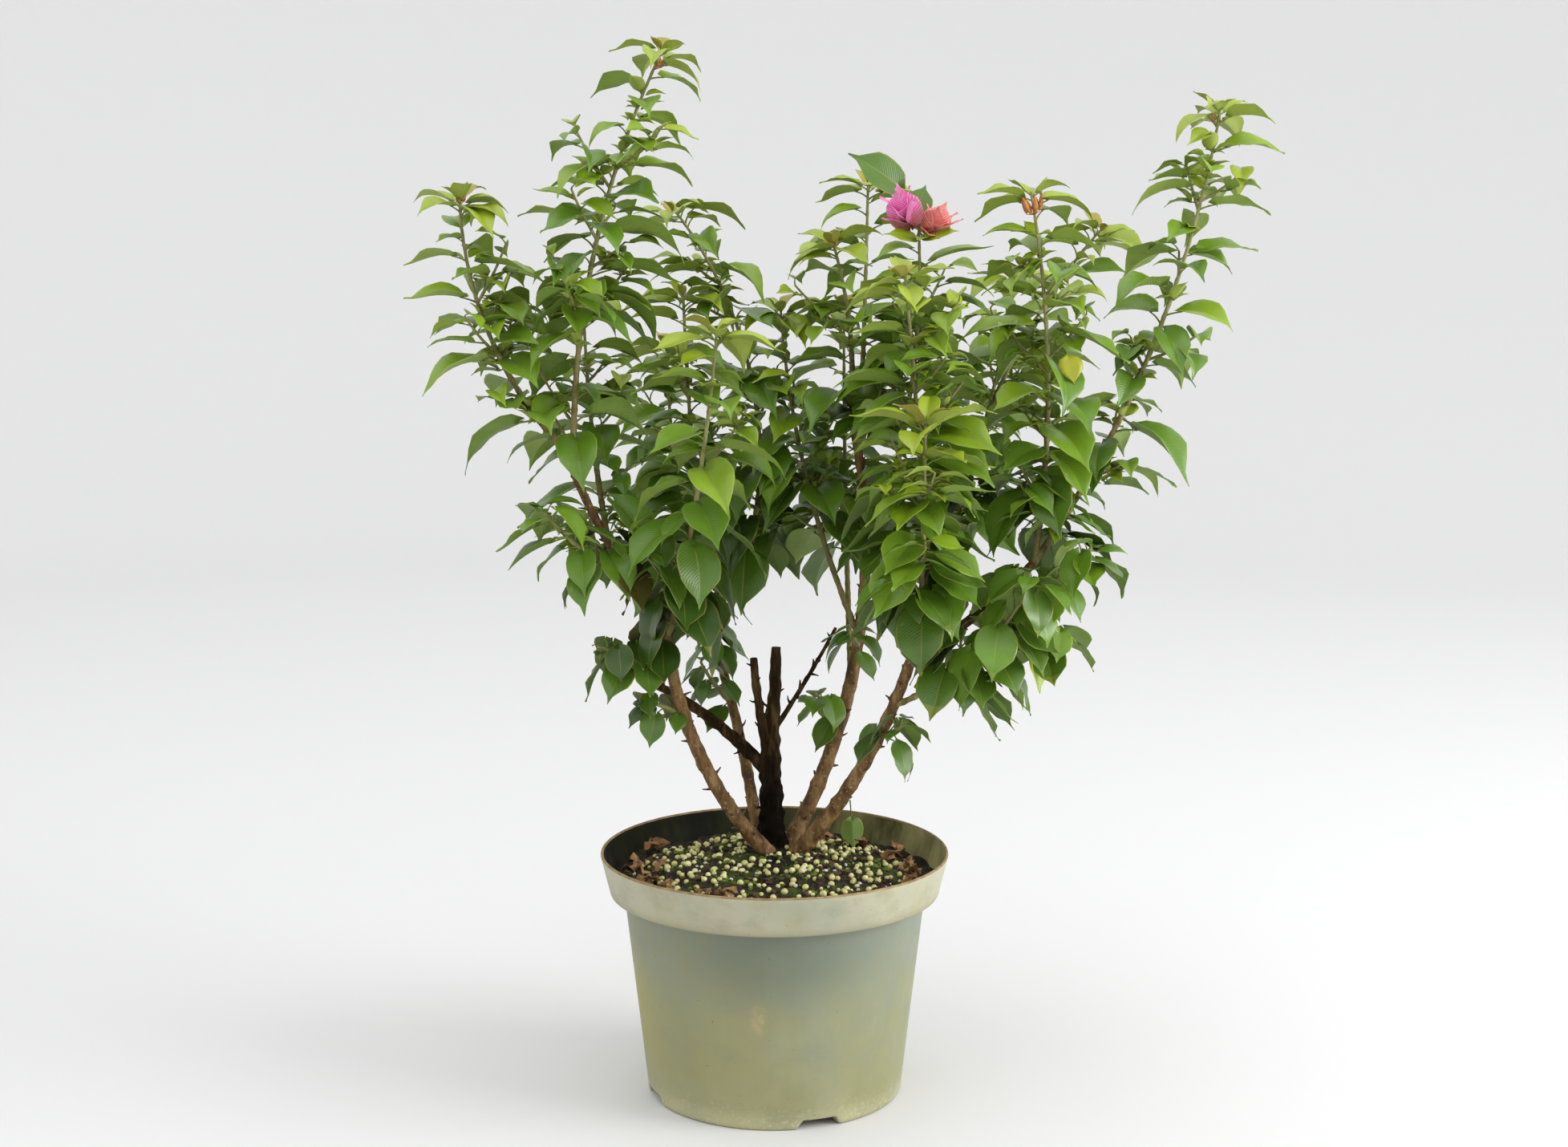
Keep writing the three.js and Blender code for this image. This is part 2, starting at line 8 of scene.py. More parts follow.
import bpy
import numpy as np
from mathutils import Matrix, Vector

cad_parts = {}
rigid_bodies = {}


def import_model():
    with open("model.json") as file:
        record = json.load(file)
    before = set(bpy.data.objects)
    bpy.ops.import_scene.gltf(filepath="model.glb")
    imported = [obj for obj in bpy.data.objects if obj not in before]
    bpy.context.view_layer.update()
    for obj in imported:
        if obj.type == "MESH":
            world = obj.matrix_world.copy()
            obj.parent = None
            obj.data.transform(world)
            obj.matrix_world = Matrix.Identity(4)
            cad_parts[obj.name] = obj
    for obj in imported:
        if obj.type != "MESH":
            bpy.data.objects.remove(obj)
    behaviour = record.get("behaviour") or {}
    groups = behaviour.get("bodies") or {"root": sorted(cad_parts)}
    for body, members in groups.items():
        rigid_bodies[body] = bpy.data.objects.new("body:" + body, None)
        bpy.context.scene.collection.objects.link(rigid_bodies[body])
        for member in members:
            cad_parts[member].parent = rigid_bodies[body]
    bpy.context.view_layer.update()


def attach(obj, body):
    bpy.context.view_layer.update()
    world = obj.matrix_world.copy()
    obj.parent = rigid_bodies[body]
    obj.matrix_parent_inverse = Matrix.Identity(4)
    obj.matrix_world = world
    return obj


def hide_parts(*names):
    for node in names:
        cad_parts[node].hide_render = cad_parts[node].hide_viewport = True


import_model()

# ---------------------------------------------------------------- driving sizes, in millimetres and degrees

MM = 0.001
UP = np.array([0.0, 0.0, 1.0])
SEED = 4181

POT = dict(
    height=180, rim=127, lip_height=30, lip_foot=120.5, shoulder=110, foot=94, wall=2.2, foot_depth=8,
    foot_ring=9, boss=30, notches=4, first_notch=-70, notch_width=34, notch_top=25, notch_height=7,
)
SOIL = dict(top=172, at_wall=160, plateau=70, off_stems=9)
# The size, rate, turn and shift of each wave in the surface of the mix.
SOIL_WAVES = ((1.3, 0.09, 0.4, 1), (0.9, 0.17, 2.1, 4), (0.6, 0.31, 1.2, 2), (0.5, 0.5, 2.8, 0))


def limb(name, azimuth, lean, length, radius, **more):
    """A limb that stands on the mix at its foot, or leaves its parent at a share of the parent's length.

    azimuth 0 is +X, and lean, off the vertical, and radius change from the first value to the second.
    """
    return dict(name=name, azimuth=azimuth, lean=lean, length=length, radius=radius, **more)


LIMBS = [
    limb("old_trunk", 180, (0, 2), 70, (9, 7.6), foot=(-2, 30), flare=3, rounded=True),
    limb("stub_left", 205, (14, 5), 84, (4, 2.6), parent="old_trunk", at=0.9),
    limb("stub_middle", 60, (9, 3), 82, (6, 3.4), parent="old_trunk", at=1),
    limb("old_branch", 160, (44, 68), 112, (5, 3), parent="old_trunk", at=0.8),
    limb("dead_twig", 48, (50, 42), 100, (2, 1.2), parent="stub_middle", at=0.22),
    limb("stem_left", 200, (43, 4), 200, (5.6, 4), foot=(-5, 17), flare=1),
    limb("bough_left", 183, (38, 20), 146, (3.6, 2.6), parent="stem_left", at=0.98),
    limb("stem_back", 132, (12, 28), 172, (4.6, 3), foot=(-12, 50), flare=1),
    limb("stem_right_inner", 24, (32, -14), 334, (6, 3), foot=(10, 36), flare=1),
    limb("stem_right_outer", 336, (42, 12), 226, (6.2, 3.2), foot=(17, 20), flare=1),
    limb("bough_right", 0, (62, 42), 110, (3.8, 3), parent="stem_right_outer", at=0.8),
    limb("bough_behind", 26, (66, 44), 96, (3, 2.4), parent="stem_right_inner", at=0.56),
]
OLD_WOOD = ("old_trunk", "stub_left", "stub_middle", "old_branch", "dead_twig")


def mass(name, parent, at, azimuth, lean, length, **more):
    """A mass of leaves on one stem.

    bare is the share without leaves at its foot, and bare_tip the length without them below its tip. size and
    whorl_size are the leaf size against the usual, all along and at the tip. age is 0 for young leaves and 1
    for old ones, gap the way from leaf to leaf, lift how far the tip's leaves rise, and clear_front keeps
    those leaves off the front.
    """
    return dict(name=name, parent=parent, at=at, azimuth=azimuth, lean=lean, length=length, **more)


def sprig(*place, size, gap=7):
    """A short mass of small old leaves on bare wood, without a whorl at its tip."""
    return mass(*place, size=size, gap=gap, age=0.6, bare_tip=0)


MASSES = [
    mass("foliage_far_left", "bough_left", 1, 168, (45, 1), 196),
    mass("foliage_tall_left", "bough_left", 0.88, 12, (-1, 26), 304, gap=9),
    mass("foliage_left_front", "stem_left", 0.93, 302, (26, 10), 236, bare=0.02),
    mass("foliage_left_low", "bough_left", 0.3, 215, (66, 40), 88, age=0.5),
    mass("foliage_left_rear", "bough_left", 0.5, 105, (48, 8), 196),
    mass("foliage_middle_left", "stem_back", 1, 238, (10, 4), 250, bare=0.2),
    mass("foliage_left_behind", "stem_back", 0.9, 172, (-28, 38), 345, bare=0.2),
    mass("foliage_middle_rear", "stem_right_inner", 0.5, 165, (24, 4), 252, bare=0.3),
    mass("foliage_middle", "stem_right_inner", 1, 232, (-6, 27), 132),
    mass("foliage_behind", "stem_right_inner", 0.9, 83, (22, 12), 212),
    mass("foliage_blossom", "stem_right_inner", 0.66, 323, (24, -4), 262, bare_tip=20),
    mass("foliage_middle_front", "stem_right_outer", 1, 243, (8, 14), 232),
    mass("foliage_front_low", "stem_right_outer", 0.9, 268, (32, 22), 172, lift=26, whorl_size=1.25),
    mass("foliage_right_front", "bough_right", 1, 200, (-9, 12), 262, clear_front=True),
    mass("foliage_far_right", "bough_right", 1, 12, (36, 9), 348, gap=9.4),
    mass("foliage_right_rear", "bough_behind", 1, 356, (10, 40), 252),
    mass("foliage_low_right", "stem_right_outer", 0.62, 332, (66, 28), 150, bare=0.3, age=0.5),
    mass("foliage_right_low", "bough_right", 0.55, 342, (76, 40), 92, age=0.5),
    mass("foliage_rear_left", "stem_back", 0.78, 118, (40, 4), 262, bare=0.2),
    mass("foliage_rear", "stem_right_inner", 0.4, 92, (40, 2), 300, bare=0.35),
    mass("foliage_rear_right", "bough_behind", 0.7, 48, (44, 6), 236, bare=0.1),
    sprig("sprig_left", "stem_back", 0.62, 220, (50, 30), 46, size=0.66),
    sprig("sprig_middle", "stem_right_inner", 0.33, 195, (66, 50), 26, size=0.8, gap=6),
    sprig("sprig_right", "stem_right_outer", 0.5, 300, (70, 60), 34, size=0.86, gap=6),
    sprig("sprig_inner", "stem_right_inner", 0.48, 262, (70, 60), 40, size=0.8),
    sprig("sprig_far_left", "stem_left", 0.64, 190, (62, 76), 34, size=0.74),
    sprig("sprig_left_top", "stem_left", 0.86, 205, (82, 72), 56, size=0.9),
    sprig("sprig_back", "stem_back", 0.85, 255, (60, 40), 52, size=0.85),
]
# A leaf may reach give into a neighbour's space. Stems are brown up to the share green_from.
SHOOT = dict(radius=(2.4, 0.9), bare=0.04, twigs=0.34, give=20, green_from=0.45)
# Leaves follow each other at gap, low_gap where they hang and tip_gap near the tip. They grow from young to
# grown, fast over the first length of grown_below and slowly over the second. Below hang_from they hang more
# and more. A leaf that finds no room is tried again at the other turns in tries.
LEAF = dict(
    gap=9.4, low_gap=5.0, tip_gap=2.6, tip_reach=22, turn=137.5, young=15, grown=53, grown_below=(11, 120),
    petiole=0.29, petiole_lean=58, droop=(-4, 16), old_at=180, hang=46, hang_from=480, hang_over=130, roll=24,
    tip_rise=46, tip_rise_over=12, tries=(0, 32, -32, 64, -64), widest=0.34, half_width=0.33, apart=5.0,
    off_limbs=7, low_size=0.9, thickness=0.35,
)
# A share of the leaves stays small, and the others are near the usual size.
STUNTED = dict(share=0.18, size=(0.45, 0.72), usual=(0.8, 1.12))
# Where a leaf is bronze or young, and where it is worn: by its way from the tip, its tone, age and place.
YOUNG = dict(bronze_within=4, bronze_tone=-0.4, bronze_age=0.1, within=22, tone_spread=9, age=0.3)
WORN = dict(lowness=0.7, tone=0.5, right_end=-70)
# What makes a leaf darker: its age, a low place, a place low on the left, and its own tone.
DEEPENING = dict(age=2.2, low=1.9, low_left=1.5, left_over=110, tone=1.1)
# A leaf points to the front where the cosine of its turn is below clear_front.
WHORL = dict(leaves=8, reach=13, size=(12, 42), droop=18, clear_front=-0.72)
# Inside this upright barrel the crown is bare up to a height.
HEART = dict(centre=(16, 10), radius=44, top=400)
TWIG = dict(length=(24, 58), lean=52, rise=24, from_tip=55, radius=(1.2, 0.7), leaf_gap=8.5)
# A spur is rarer low down. Its leaves are young at a lowness below young_below, and bright from there on.
SPUR = dict(share=0.26, leaves=(2, 7), size=(8, 19), from_tip=26, young_below=0.4, thinning=0.7)
CAMERA = dict(lens=55, sensor_width=36, place=(0.0069, -1.706, 0.652), down=8.91)

# ---------------------------------------------------------------- small helpers


def rgb(red, green, blue):
    """An sRGB colour of 0 to 255 as the linear colour that a shader takes."""
    def linear(value):
        share = value / 255
        return share / 12.92 if share <= 0.04045 else ((share + 0.055) / 1.055) ** 2.4
    return (linear(red), linear(green), linear(blue), 1.0)


def mix(a, b, t):
    """The value at a share of the way from one to another."""
    return a + (b - a) * t


def clamp01(t):
    """The value, kept within 0 and 1."""
    return min(1.0, max(0.0, t))


def unit(vector):
    """The way of a vector, at length 1."""
    return vector / np.linalg.norm(vector)


def turned(way, other, angle):
    """The way that lies that many degrees from one way towards another at right angles to it."""
    return way * math.cos(math.radians(angle)) + other * math.sin(math.radians(angle))


def curve(start, corner, end, count):
    """Points along a curve that sets out towards a corner and comes in from it."""
    t = np.linspace(0, 1, count)[:, None]
    return (1 - t) ** 2 * start + 2 * t * (1 - t) * corner + t ** 2 * end


def ring_angles(segments):
    """Even angles round a circle, in radians."""
    return np.arange(segments) * 2 * math.pi / segments


def ways_across(along):
    """Two ways at right angles to a way and to each other, the first as near the back as it can be."""
    across = unit(np.array([0.0, 1.0, 0.0]) - along * along[1])
    return across, np.cross(across, along)


def run_along(points):
    """How far along its path each point lies."""
    return np.concatenate([[0], np.cumsum(np.linalg.norm(np.diff(points, axis=0), axis=1))])


def smooth_step(low, high, value):
    """A smooth rise from 0 at low to 1 at high, which may also lie below low."""
    t = np.clip((value - low) / (high - low), 0, 1)
    return t * t * (3 - 2 * t)


class Draw:
    """The source's seeded whole-number sequence."""

    def __init__(self, seed):
        self.state = seed

    def __call__(self, low, high):
        self.state = self.state * 16807 % 2147483647
        return low + (high - low) * (self.state / 2147483647)


def ripple(seed, along, around, waves, along_rate, around_rate):
    """A smooth seeded relief of mean 0 and size about 1, which closes on itself around."""
    rng = np.random.default_rng(seed)
    total = np.zeros(np.broadcast(along, around).shape)
    for _ in range(waves):
        lengthwise = rng.uniform(-along_rate, along_rate)
        crosswise = rng.integers(0, around_rate + 1)
        total = total + np.cos(lengthwise * along + crosswise * around + rng.uniform(0, 2 * math.pi))
    return total / math.sqrt(waves / 2)


# ---------------------------------------------------------------- joined meshes from arrays


class Bundle:
    """Collects points and faces, in millimetres, for one joined mesh."""

    def __init__(self):
        self.points, self.loops, self.sizes, self.slots, self.coords = [], [], [], [], []
        self.count = 0

    def add(self, points, loops, sizes, slot=0, coords=None):
        """Takes in points, the point numbers of face after face, and each face's size and material slot."""
        loops = np.asarray(loops, np.int64)
        self.points.append(np.asarray(points, float))
        self.loops.append(loops + self.count)
        self.sizes.append(np.asarray(sizes, np.int64))
        self.slots.append(np.broadcast_to(np.asarray(slot, np.int64), (len(sizes),)))
        self.coords.append(np.zeros((len(points), 2)) if coords is None else coords)
        self.count += len(points)

    def build(self, name, materials, slot_name, nodes=(), smooth=True):
        """Makes the mesh object, in metres, riding on the root body and in place of its nodes."""
        points = np.concatenate(self.points) * MM
        loops = np.concatenate(self.loops)
        sizes = np.concatenate(self.sizes)
        mesh = bpy.data.meshes.new(name)
        mesh.vertices.add(len(points))
        mesh.vertices.foreach_set("co", points.astype(np.float32).ravel())
        mesh.loops.add(len(loops))
        mesh.loops.foreach_set("vertex_index", loops.astype(np.int32))
        mesh.polygons.add(len(sizes))
        mesh.polygons.foreach_set("loop_start", (np.cumsum(sizes) - sizes).astype(np.int32))
        mesh.update(calc_edges=True)
        mesh.polygons.foreach_set("material_index", np.concatenate(self.slots).astype(np.int32))
        mesh.polygons.foreach_set("use_smooth", np.full(len(sizes), smooth))
        layer = mesh.uv_layers.new(name="surface")
        layer.data.foreach_set("uv", np.concatenate(self.coords)[loops].astype(np.float32).ravel())
        mesh.validate()
        for material in materials:
            mesh.materials.append(material)
        piece = bpy.data.objects.new(name, mesh)
        bpy.context.scene.collection.objects.link(piece)
        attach(piece, "root")
        if nodes:
            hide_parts(*nodes)


def grid_faces(rows, columns, closed=False):
    """Quads between a grid's points, given row by row; closed joins the last column to the first."""
    spans = columns if closed else columns - 1
    row, column = np.meshgrid(np.arange(rows - 1), np.arange(spans), indexing="ij")
    following = (column + 1) % columns
    quads = np.stack(
        [row * columns + column, row * columns + following,
         (row + 1) * columns + following, (row + 1) * columns + column], axis=-1)
    return quads.reshape(-1, 4)


def add_rings(bundle, surface, ends, slots=0, flip=False):
    """Closed rings of points, given row by row, with a fan of triangles to a point at each end."""
    rows, columns = surface.shape[:2]
    points = np.vstack([surface.reshape(-1, 3), ends])
    around = np.arange(columns)
    following = (around + 1) % columns
    last_row = (rows - 1) * columns
    fans = [
        np.stack([np.full(columns, rows * columns), following, around], axis=-1),
        np.stack([np.full(columns, rows * columns + 1), last_row + around, last_row + following], axis=-1),
    ]
    step = -1 if flip else 1
    faces = [block[:, ::step] for block in (grid_faces(rows, columns, closed=True), *fans)]
    sizes = np.repeat([4, 3], [len(faces[0]), 2 * columns])
    slots = np.broadcast_to(slots, rows + 1)
    slot = np.concatenate([np.repeat(slots[1:-1], columns), np.repeat(slots[[0, -1]], columns)])
    bundle.add(points, np.concatenate([block.ravel() for block in faces]), sizes, slot)


def add_tube(bundle, points, radii, sides, slot=0):
    """A closed tube round a path. radii holds one value a ring, or one for each side of each ring."""
    points = np.asarray(points, float)
    count = len(points)
    tangents = np.gradient(points, axis=0)
    tangents /= np.linalg.norm(tangents, axis=1)[:, None]
    across = np.array([0.0, 1.0, 0.0]) - tangents * tangents[:, 1:2]
    across /= np.linalg.norm(across, axis=1)[:, None]
    side = np.cross(across, tangents)
    angles = ring_angles(sides)
    radii = np.asarray(radii, float)
    radii = np.broadcast_to(radii if radii.ndim == 2 else radii[:, None], (count, sides))
    ring = across[:, None] * np.cos(angles)[:, None] + side[:, None] * np.sin(angles)[:, None]
    surface = points[:, None, :] + ring * radii[:, :, None]
    quads = grid_faces(count, sides, closed=True)[:, ::-1]
    first = np.arange(sides)
    last = (count - 1) * sides + np.arange(sides)[::-1]
    loops = np.concatenate([quads.ravel(), first, last])
    sizes = np.concatenate([np.full(len(quads), 4), [sides, sides]])
    run = run_along(points)
    coords = np.stack(np.broadcast_arrays(angles[None, :] / (2 * math.pi), run[:, None] * 0.01), axis=-1)
    bundle.add(surface.reshape(-1, 3), loops, sizes, slot, coords.reshape(-1, 2))


# ---------------------------------------------------------------- paths, as the source lays them out


def heading(azimuth, lean):
    """The way at an azimuth and at a lean off the vertical."""
    a, b = math.radians(azimuth), math.radians(lean)
    return np.array([math.sin(b) * math.cos(a), math.sin(b) * math.sin(a), math.cos(b)])


class Path:
    """A limb's or shoot's middle line, which bends evenly from its first lean to its last."""
    STEPS = 64

    def __init__(self, start, azimuth, lean, length):
        self.length = length
        shares = (np.arange(self.STEPS) + 0.5) / self.STEPS
        ways = np.array([heading(azimuth, mix(lean[0], lean[1], t)) for t in shares])
        self.points = np.vstack([start, start + np.cumsum(ways * length / self.STEPS, axis=0)])

    def at(self, share):
        """The point there, the way along, and two ways across."""
        place = clamp01(share) * self.STEPS
        i = min(int(place), self.STEPS - 1)
        along = unit(self.points[i + 1] - self.points[i])
        return mix(self.points[i], self.points[i + 1], place - i), along, *ways_across(along)

    def sampled(self, spacing):
        """Points at about that spacing."""
        count = max(3, int(self.length / spacing) + 1)
        return np.array([self.at(t)[0] for t in np.linspace(0, 1, count)])


def grow_limbs():
    """Each limb's path, every parent before what it carries."""
    limbs = {}
    for row in LIMBS:
        if "foot" in row:
            start = np.array([*row["foot"], SOIL["top"]], float)
        else:
            start = limbs[row["parent"]].at(row["at"])[0]
        limbs[row["name"]] = Path(start, row["azimuth"], row["lean"], row["length"])
    return limbs


limbs = grow_limbs()
shoots = {
    m["name"]: Path(limbs[m["parent"]].at(m["at"])[0], m["azimuth"], m["lean"], m["length"]) for m in MASSES
}

# ---------------------------------------------------------------- materials


class Shader:
    """A Principled material with a few named ways to add nodes."""

    def __init__(self, name, roughness=0.6, **values):
        self.material = bpy.data.materials.new(name)
        self.material.use_nodes = True
        self.tree = self.material.node_tree
        self.base = self.tree.nodes["Principled BSDF"]
        self.base.inputs["Roughness"].default_value = roughness
        for key, value in values.items():
            self.base.inputs[key.replace("_", " ")].default_value = value
        self.object = self.node("ShaderNodeTexCoord").outputs["Object"]

    def node(self, kind, **values):
        """Adds a node with some of its properties set."""
        made = self.tree.nodes.new(kind)
        for key, value in values.items():
            setattr(made, key, value)
        return made

    def link(self, source, target):
        self.tree.links.new(source, target)

    def feed(self, value, target):
        """Gives a socket another socket or a plain value."""
        if isinstance(value, bpy.types.NodeSocket):
            self.link(value, target)
        else:
            target.default_value = value

    def scaled(self, stretch):
        """The place on the object, in metres, times a number along each axis."""
        mapping = self.node("ShaderNodeMapping")
        mapping.inputs["Scale"].default_value = stretch
        self.link(self.object, mapping.inputs["Vector"])
        return mapping.outputs["Vector"]

    def noise(self, scale, detail=4, stretch=(1, 1, 1)):
        """Noise of that many lumps a metre, stretched along an axis by a number below 1."""
        noise = self.node("ShaderNodeTexNoise")
        for name, value in (("Scale", scale), ("Detail", detail), ("Roughness", 0.6)):
            noise.inputs[name].default_value = value
        self.link(self.scaled(stretch), noise.inputs["Vector"])
        return noise.outputs["Fac"]

    def blotches(self, scale, detail, low, high, strength=1.0, stretch=(1, 1, 1)):
        """Noise cut off: 0 up to its low level, and the strength from its high level on."""
        return self.ramp(self.noise(scale, detail, stretch), [(low, 0.0), (high, strength)])

    def axis(self, name, vector=None):
        """One coordinate, X, Y or Z, of a vector or of the place on the object, in metres."""
        parts = self.node("ShaderNodeSeparateXYZ")
        self.link(self.object if vector is None else vector, parts.inputs["Vector"])
        return parts.outputs[name]

    def surface(self):
        """The place on a blade, across and along."""
        return self.node("ShaderNodeUVMap", uv_map="surface").outputs["UV"]

    def veins(self, scale, distortion):
        """Soft bands across the length of a blade."""
        wave = self.node("ShaderNodeTexWave", wave_type="BANDS", bands_direction="Y")
        wave.inputs["Scale"].default_value = scale
        wave.inputs["Distortion"].default_value = distortion
        self.link(self.surface(), wave.inputs["Vector"])
        return wave.outputs["Fac"]

    def math(self, operation, first, *others):
        """A sum on a socket and sockets or numbers."""
        made = self.node("ShaderNodeMath", operation=operation)
        for socket, value in zip(made.inputs, (first, *others)):
            self.feed(value, socket)
        return made.outputs["Value"]

    def ramp(self, source, stops):
        """Colours or grey levels at places from 0 to 1."""
        ramp = self.node("ShaderNodeValToRGB")
        elements = ramp.color_ramp.elements
        while len(elements) < len(stops):
            elements.new(0.5)
        for element, (place, value) in zip(elements, stops):
            element.position = place
            element.color = value if isinstance(value, tuple) else (value, value, value, 1)
        self.link(source, ramp.inputs["Fac"])
        return ramp.outputs["Color"]

    def blend(self, share, a, b, mode="MIX"):
        """Mixes two colours, each a socket or a value, by a share that is a socket or a number."""
        made = self.node("ShaderNodeMix", data_type="RGBA", blend_type=mode)
        for name, value in (("Factor_Float", share), ("A_Color", a), ("B_Color", b)):
            self.feed(value, next(s for s in made.inputs if s.identifier == name))
        return next(s for s in made.outputs if s.identifier == "Result_Color")

    def patch(self, centre, radius, stretch=(1, 1, 1)):
        """A soft spot: 1 at its centre, 0 from its radius on, narrower along an axis stretched above 1."""
        away = self.node("ShaderNodeVectorMath", operation="DISTANCE")
        self.link(self.scaled(stretch), away.inputs[0])
        away.inputs[1].default_value = tuple(c * s for c, s in zip(centre, stretch))
        share = self.node("ShaderNodeMapRange", interpolation_type="SMOOTHSTEP")
        self.link(away.outputs["Value"], share.inputs["Value"])
        for name, value in (("From Min", 0), ("From Max", radius), ("To Min", 1), ("To Max", 0)):
            share.inputs[name].default_value = value
        return share.outputs["Result"]

    def colour(self, source):
        """Gives the surface its colour."""
        self.link(source, self.base.inputs["Base Color"])

    def bump(self, source, strength, distance):
        """Adds a relief on top of those that the surface has."""
        made = self.node("ShaderNodeBump")
        made.inputs["Strength"].default_value = strength
        made.inputs["Distance"].default_value = distance
        self.link(source, made.inputs["Height"])
        previous = self.base.inputs["Normal"]
        if previous.is_linked:
            self.link(previous.links[0].from_socket, made.inputs["Normal"])
        self.link(made.outputs["Normal"], previous)


def mottled(name, dark, light, scale, roughness=0.6, bump=(0.3, 0.0004), stretch=(1, 1, 1), **values):
    """Two near colours in lumps, with a relief to match."""
    shader = Shader(name, roughness, **values)
    lumps = shader.noise(scale, stretch=stretch)
    shader.colour(shader.ramp(lumps, [(0.34, dark), (0.66, light)]))
    shader.bump(shader.noise(scale * 4, stretch=stretch), *bump)
    return shader.material


def leaf_material(name, colour, roughness=0.34, veins=0.14):
    """A satin leaf face: one plain green, a little uneven, with side veins in its relief."""
    shade = 0.84
    shader = Shader(name, roughness, Specular_IOR_Level=0.6)
    darker = tuple(c * shade for c in colour[:3]) + (1.0,)
    shader.colour(shader.blend(shader.blotches(70, 2, 0.3, 0.7), darker, colour))
    shader.bump(shader.veins(2.0, 0.0), veins, 0.0006)
    shader.bump(shader.noise(900, detail=2), 0.12, 0.0003)
    return shader.material


LEAF_KINDS = {
    # top, underside and margin colours, from a shoot's tip to the oldest leaf
    "bronze": (rgb(168, 158, 44), rgb(164, 160, 74), rgb(184, 148, 60)),
    "young": (rgb(158, 180, 40), rgb(160, 176, 74), rgb(166, 178, 54)),
    "bright": (rgb(136, 168, 32), rgb(150, 172, 72), rgb(148, 172, 50)),
    "fresh": (rgb(114, 150, 34), rgb(138, 163, 68), rgb(132, 160, 44)),
    "green": (rgb(98, 136, 32), rgb(126, 153, 64), rgb(118, 146, 40)),
    "deep": (rgb(83, 118, 30), rgb(104, 132, 54), rgb(124, 138, 44)),
    "dark": (rgb(58, 88, 22), rgb(84, 112, 42), rgb(116, 118, 44)),
    "worn": (rgb(84, 82, 32), rgb(104, 108, 50), rgb(122, 84, 44)),
    "yellow": (rgb(160, 162, 14), rgb(160, 164, 36), rgb(172, 166, 30)),
}


def leaf_materials(kind):
    """The three materials of one kind of leaf, in the order of the blade's slots."""
    top, under, margin = LEAF_KINDS[kind]
    return [
        leaf_material(f"leaf {kind} top", top),
        leaf_material(f"leaf {kind} underside", under, roughness=0.62, veins=0.25),
        leaf_material(f"leaf {kind} margin and rib", margin, veins=0.0),
    ]


# ---------------------------------------------------------------- where leaves and twigs go


def lowness(point):
    """How far down the crown a place is, from 0 where leaves stand out to 1 where they hang."""
    return clamp01((LEAF["hang_from"] - point[2]) / LEAF["hang_over"])


def leaf_pose(site, shift=0):
    """The leaf's root, base, ways and sample places, as in the source."""
    point, along, across, side = site["frame"]
    radial = turned(across, side, site["turn"] + shift)
    stalk = turned(along, radial, LEAF["petiole_lean"])
    out = unit(np.array([radial[0] + stalk[0], radial[1] + stalk[1], 0.0]))
    low = lowness(point)
    rise = LEAF["tip_rise"] * clamp01(1 - site["from_tip"] / LEAF["tip_rise_over"])
    droop = mix(*LEAF["droop"], site["age"]) + LEAF["hang"] * low + site.get("sag", 0) - rise
    way = turned(out, -UP, droop)
    face = turned(UP, out, droop)
    face = turned(face, np.cross(way, face), site["roll"])
    size = site["size"]
    base = point + stalk * size * LEAF["petiole"] * (1 + 0.4 * low)
    middle = base + way * size * LEAF["widest"]
    sideways = np.cross(way, face)
    reach = size * LEAF["half_width"]
    return dict(
        root=point, way=way, face=face, side=sideways, base=base, low=low,
        places=np.array([base + way * size, middle, middle + sideways * reach, middle - sideways * reach]),
        core=np.array([middle, base + way * size * 0.55, base + way * size * 0.8]),
    )


def nodes_along(path, row, draw):
    """Where the nodes lie, as shares of the stem. They crowd together at its tip, and where leaves hang."""
    nodes, place = [], row.get("bare", SHOOT["bare"]) * path.length
    while place < path.length - row.get("bare_tip", WHORL["reach"]):
        share = place / path.length
        nodes.append(share)
        open_gap = mix(LEAF["gap"], LEAF["low_gap"], lowness(path.at(share)[0]))
        open_gap = min(open_gap, row.get("gap", LEAF["gap"]))
        near_tip = clamp01((path.length - place) / LEAF["tip_reach"])
        place += mix(LEAF["tip_gap"], open_gap, near_tip) * draw(0.6, 1.4)
    return nodes


def tip_whorl(path, row, turn, draw):
    """The leaves that crowd round a shoot's tip, small and upright in the middle, large and flat around."""
    leaves = []
    scale = row.get("whorl_size", row.get("size", 1))
    for number in range(WHORL["leaves"]):
        share = number / (WHORL["leaves"] - 1)
        from_tip = WHORL["reach"] * share
        leaves.append(dict(
            frame=path.at(1 - from_tip / path.length), turn=turn + LEAF["turn"] * number + draw(-14, 14),
            size=scale * mix(*WHORL["size"], share ** 0.6) * draw(0.85, 1.1),
            age=row.get("age", 0), from_tip=from_tip + 1, roll=draw(-14, 14), tone=draw(-1, 1), crowded=True,
            sag=(WHORL["droop"] - row.get("lift", 0)) * share + draw(-6, 10),
        ))
    if row.get("clear_front"):
        leaves = [leaf for leaf in leaves if math.cos(math.radians(leaf["turn"])) > WHORL["clear_front"]]
    return leaves


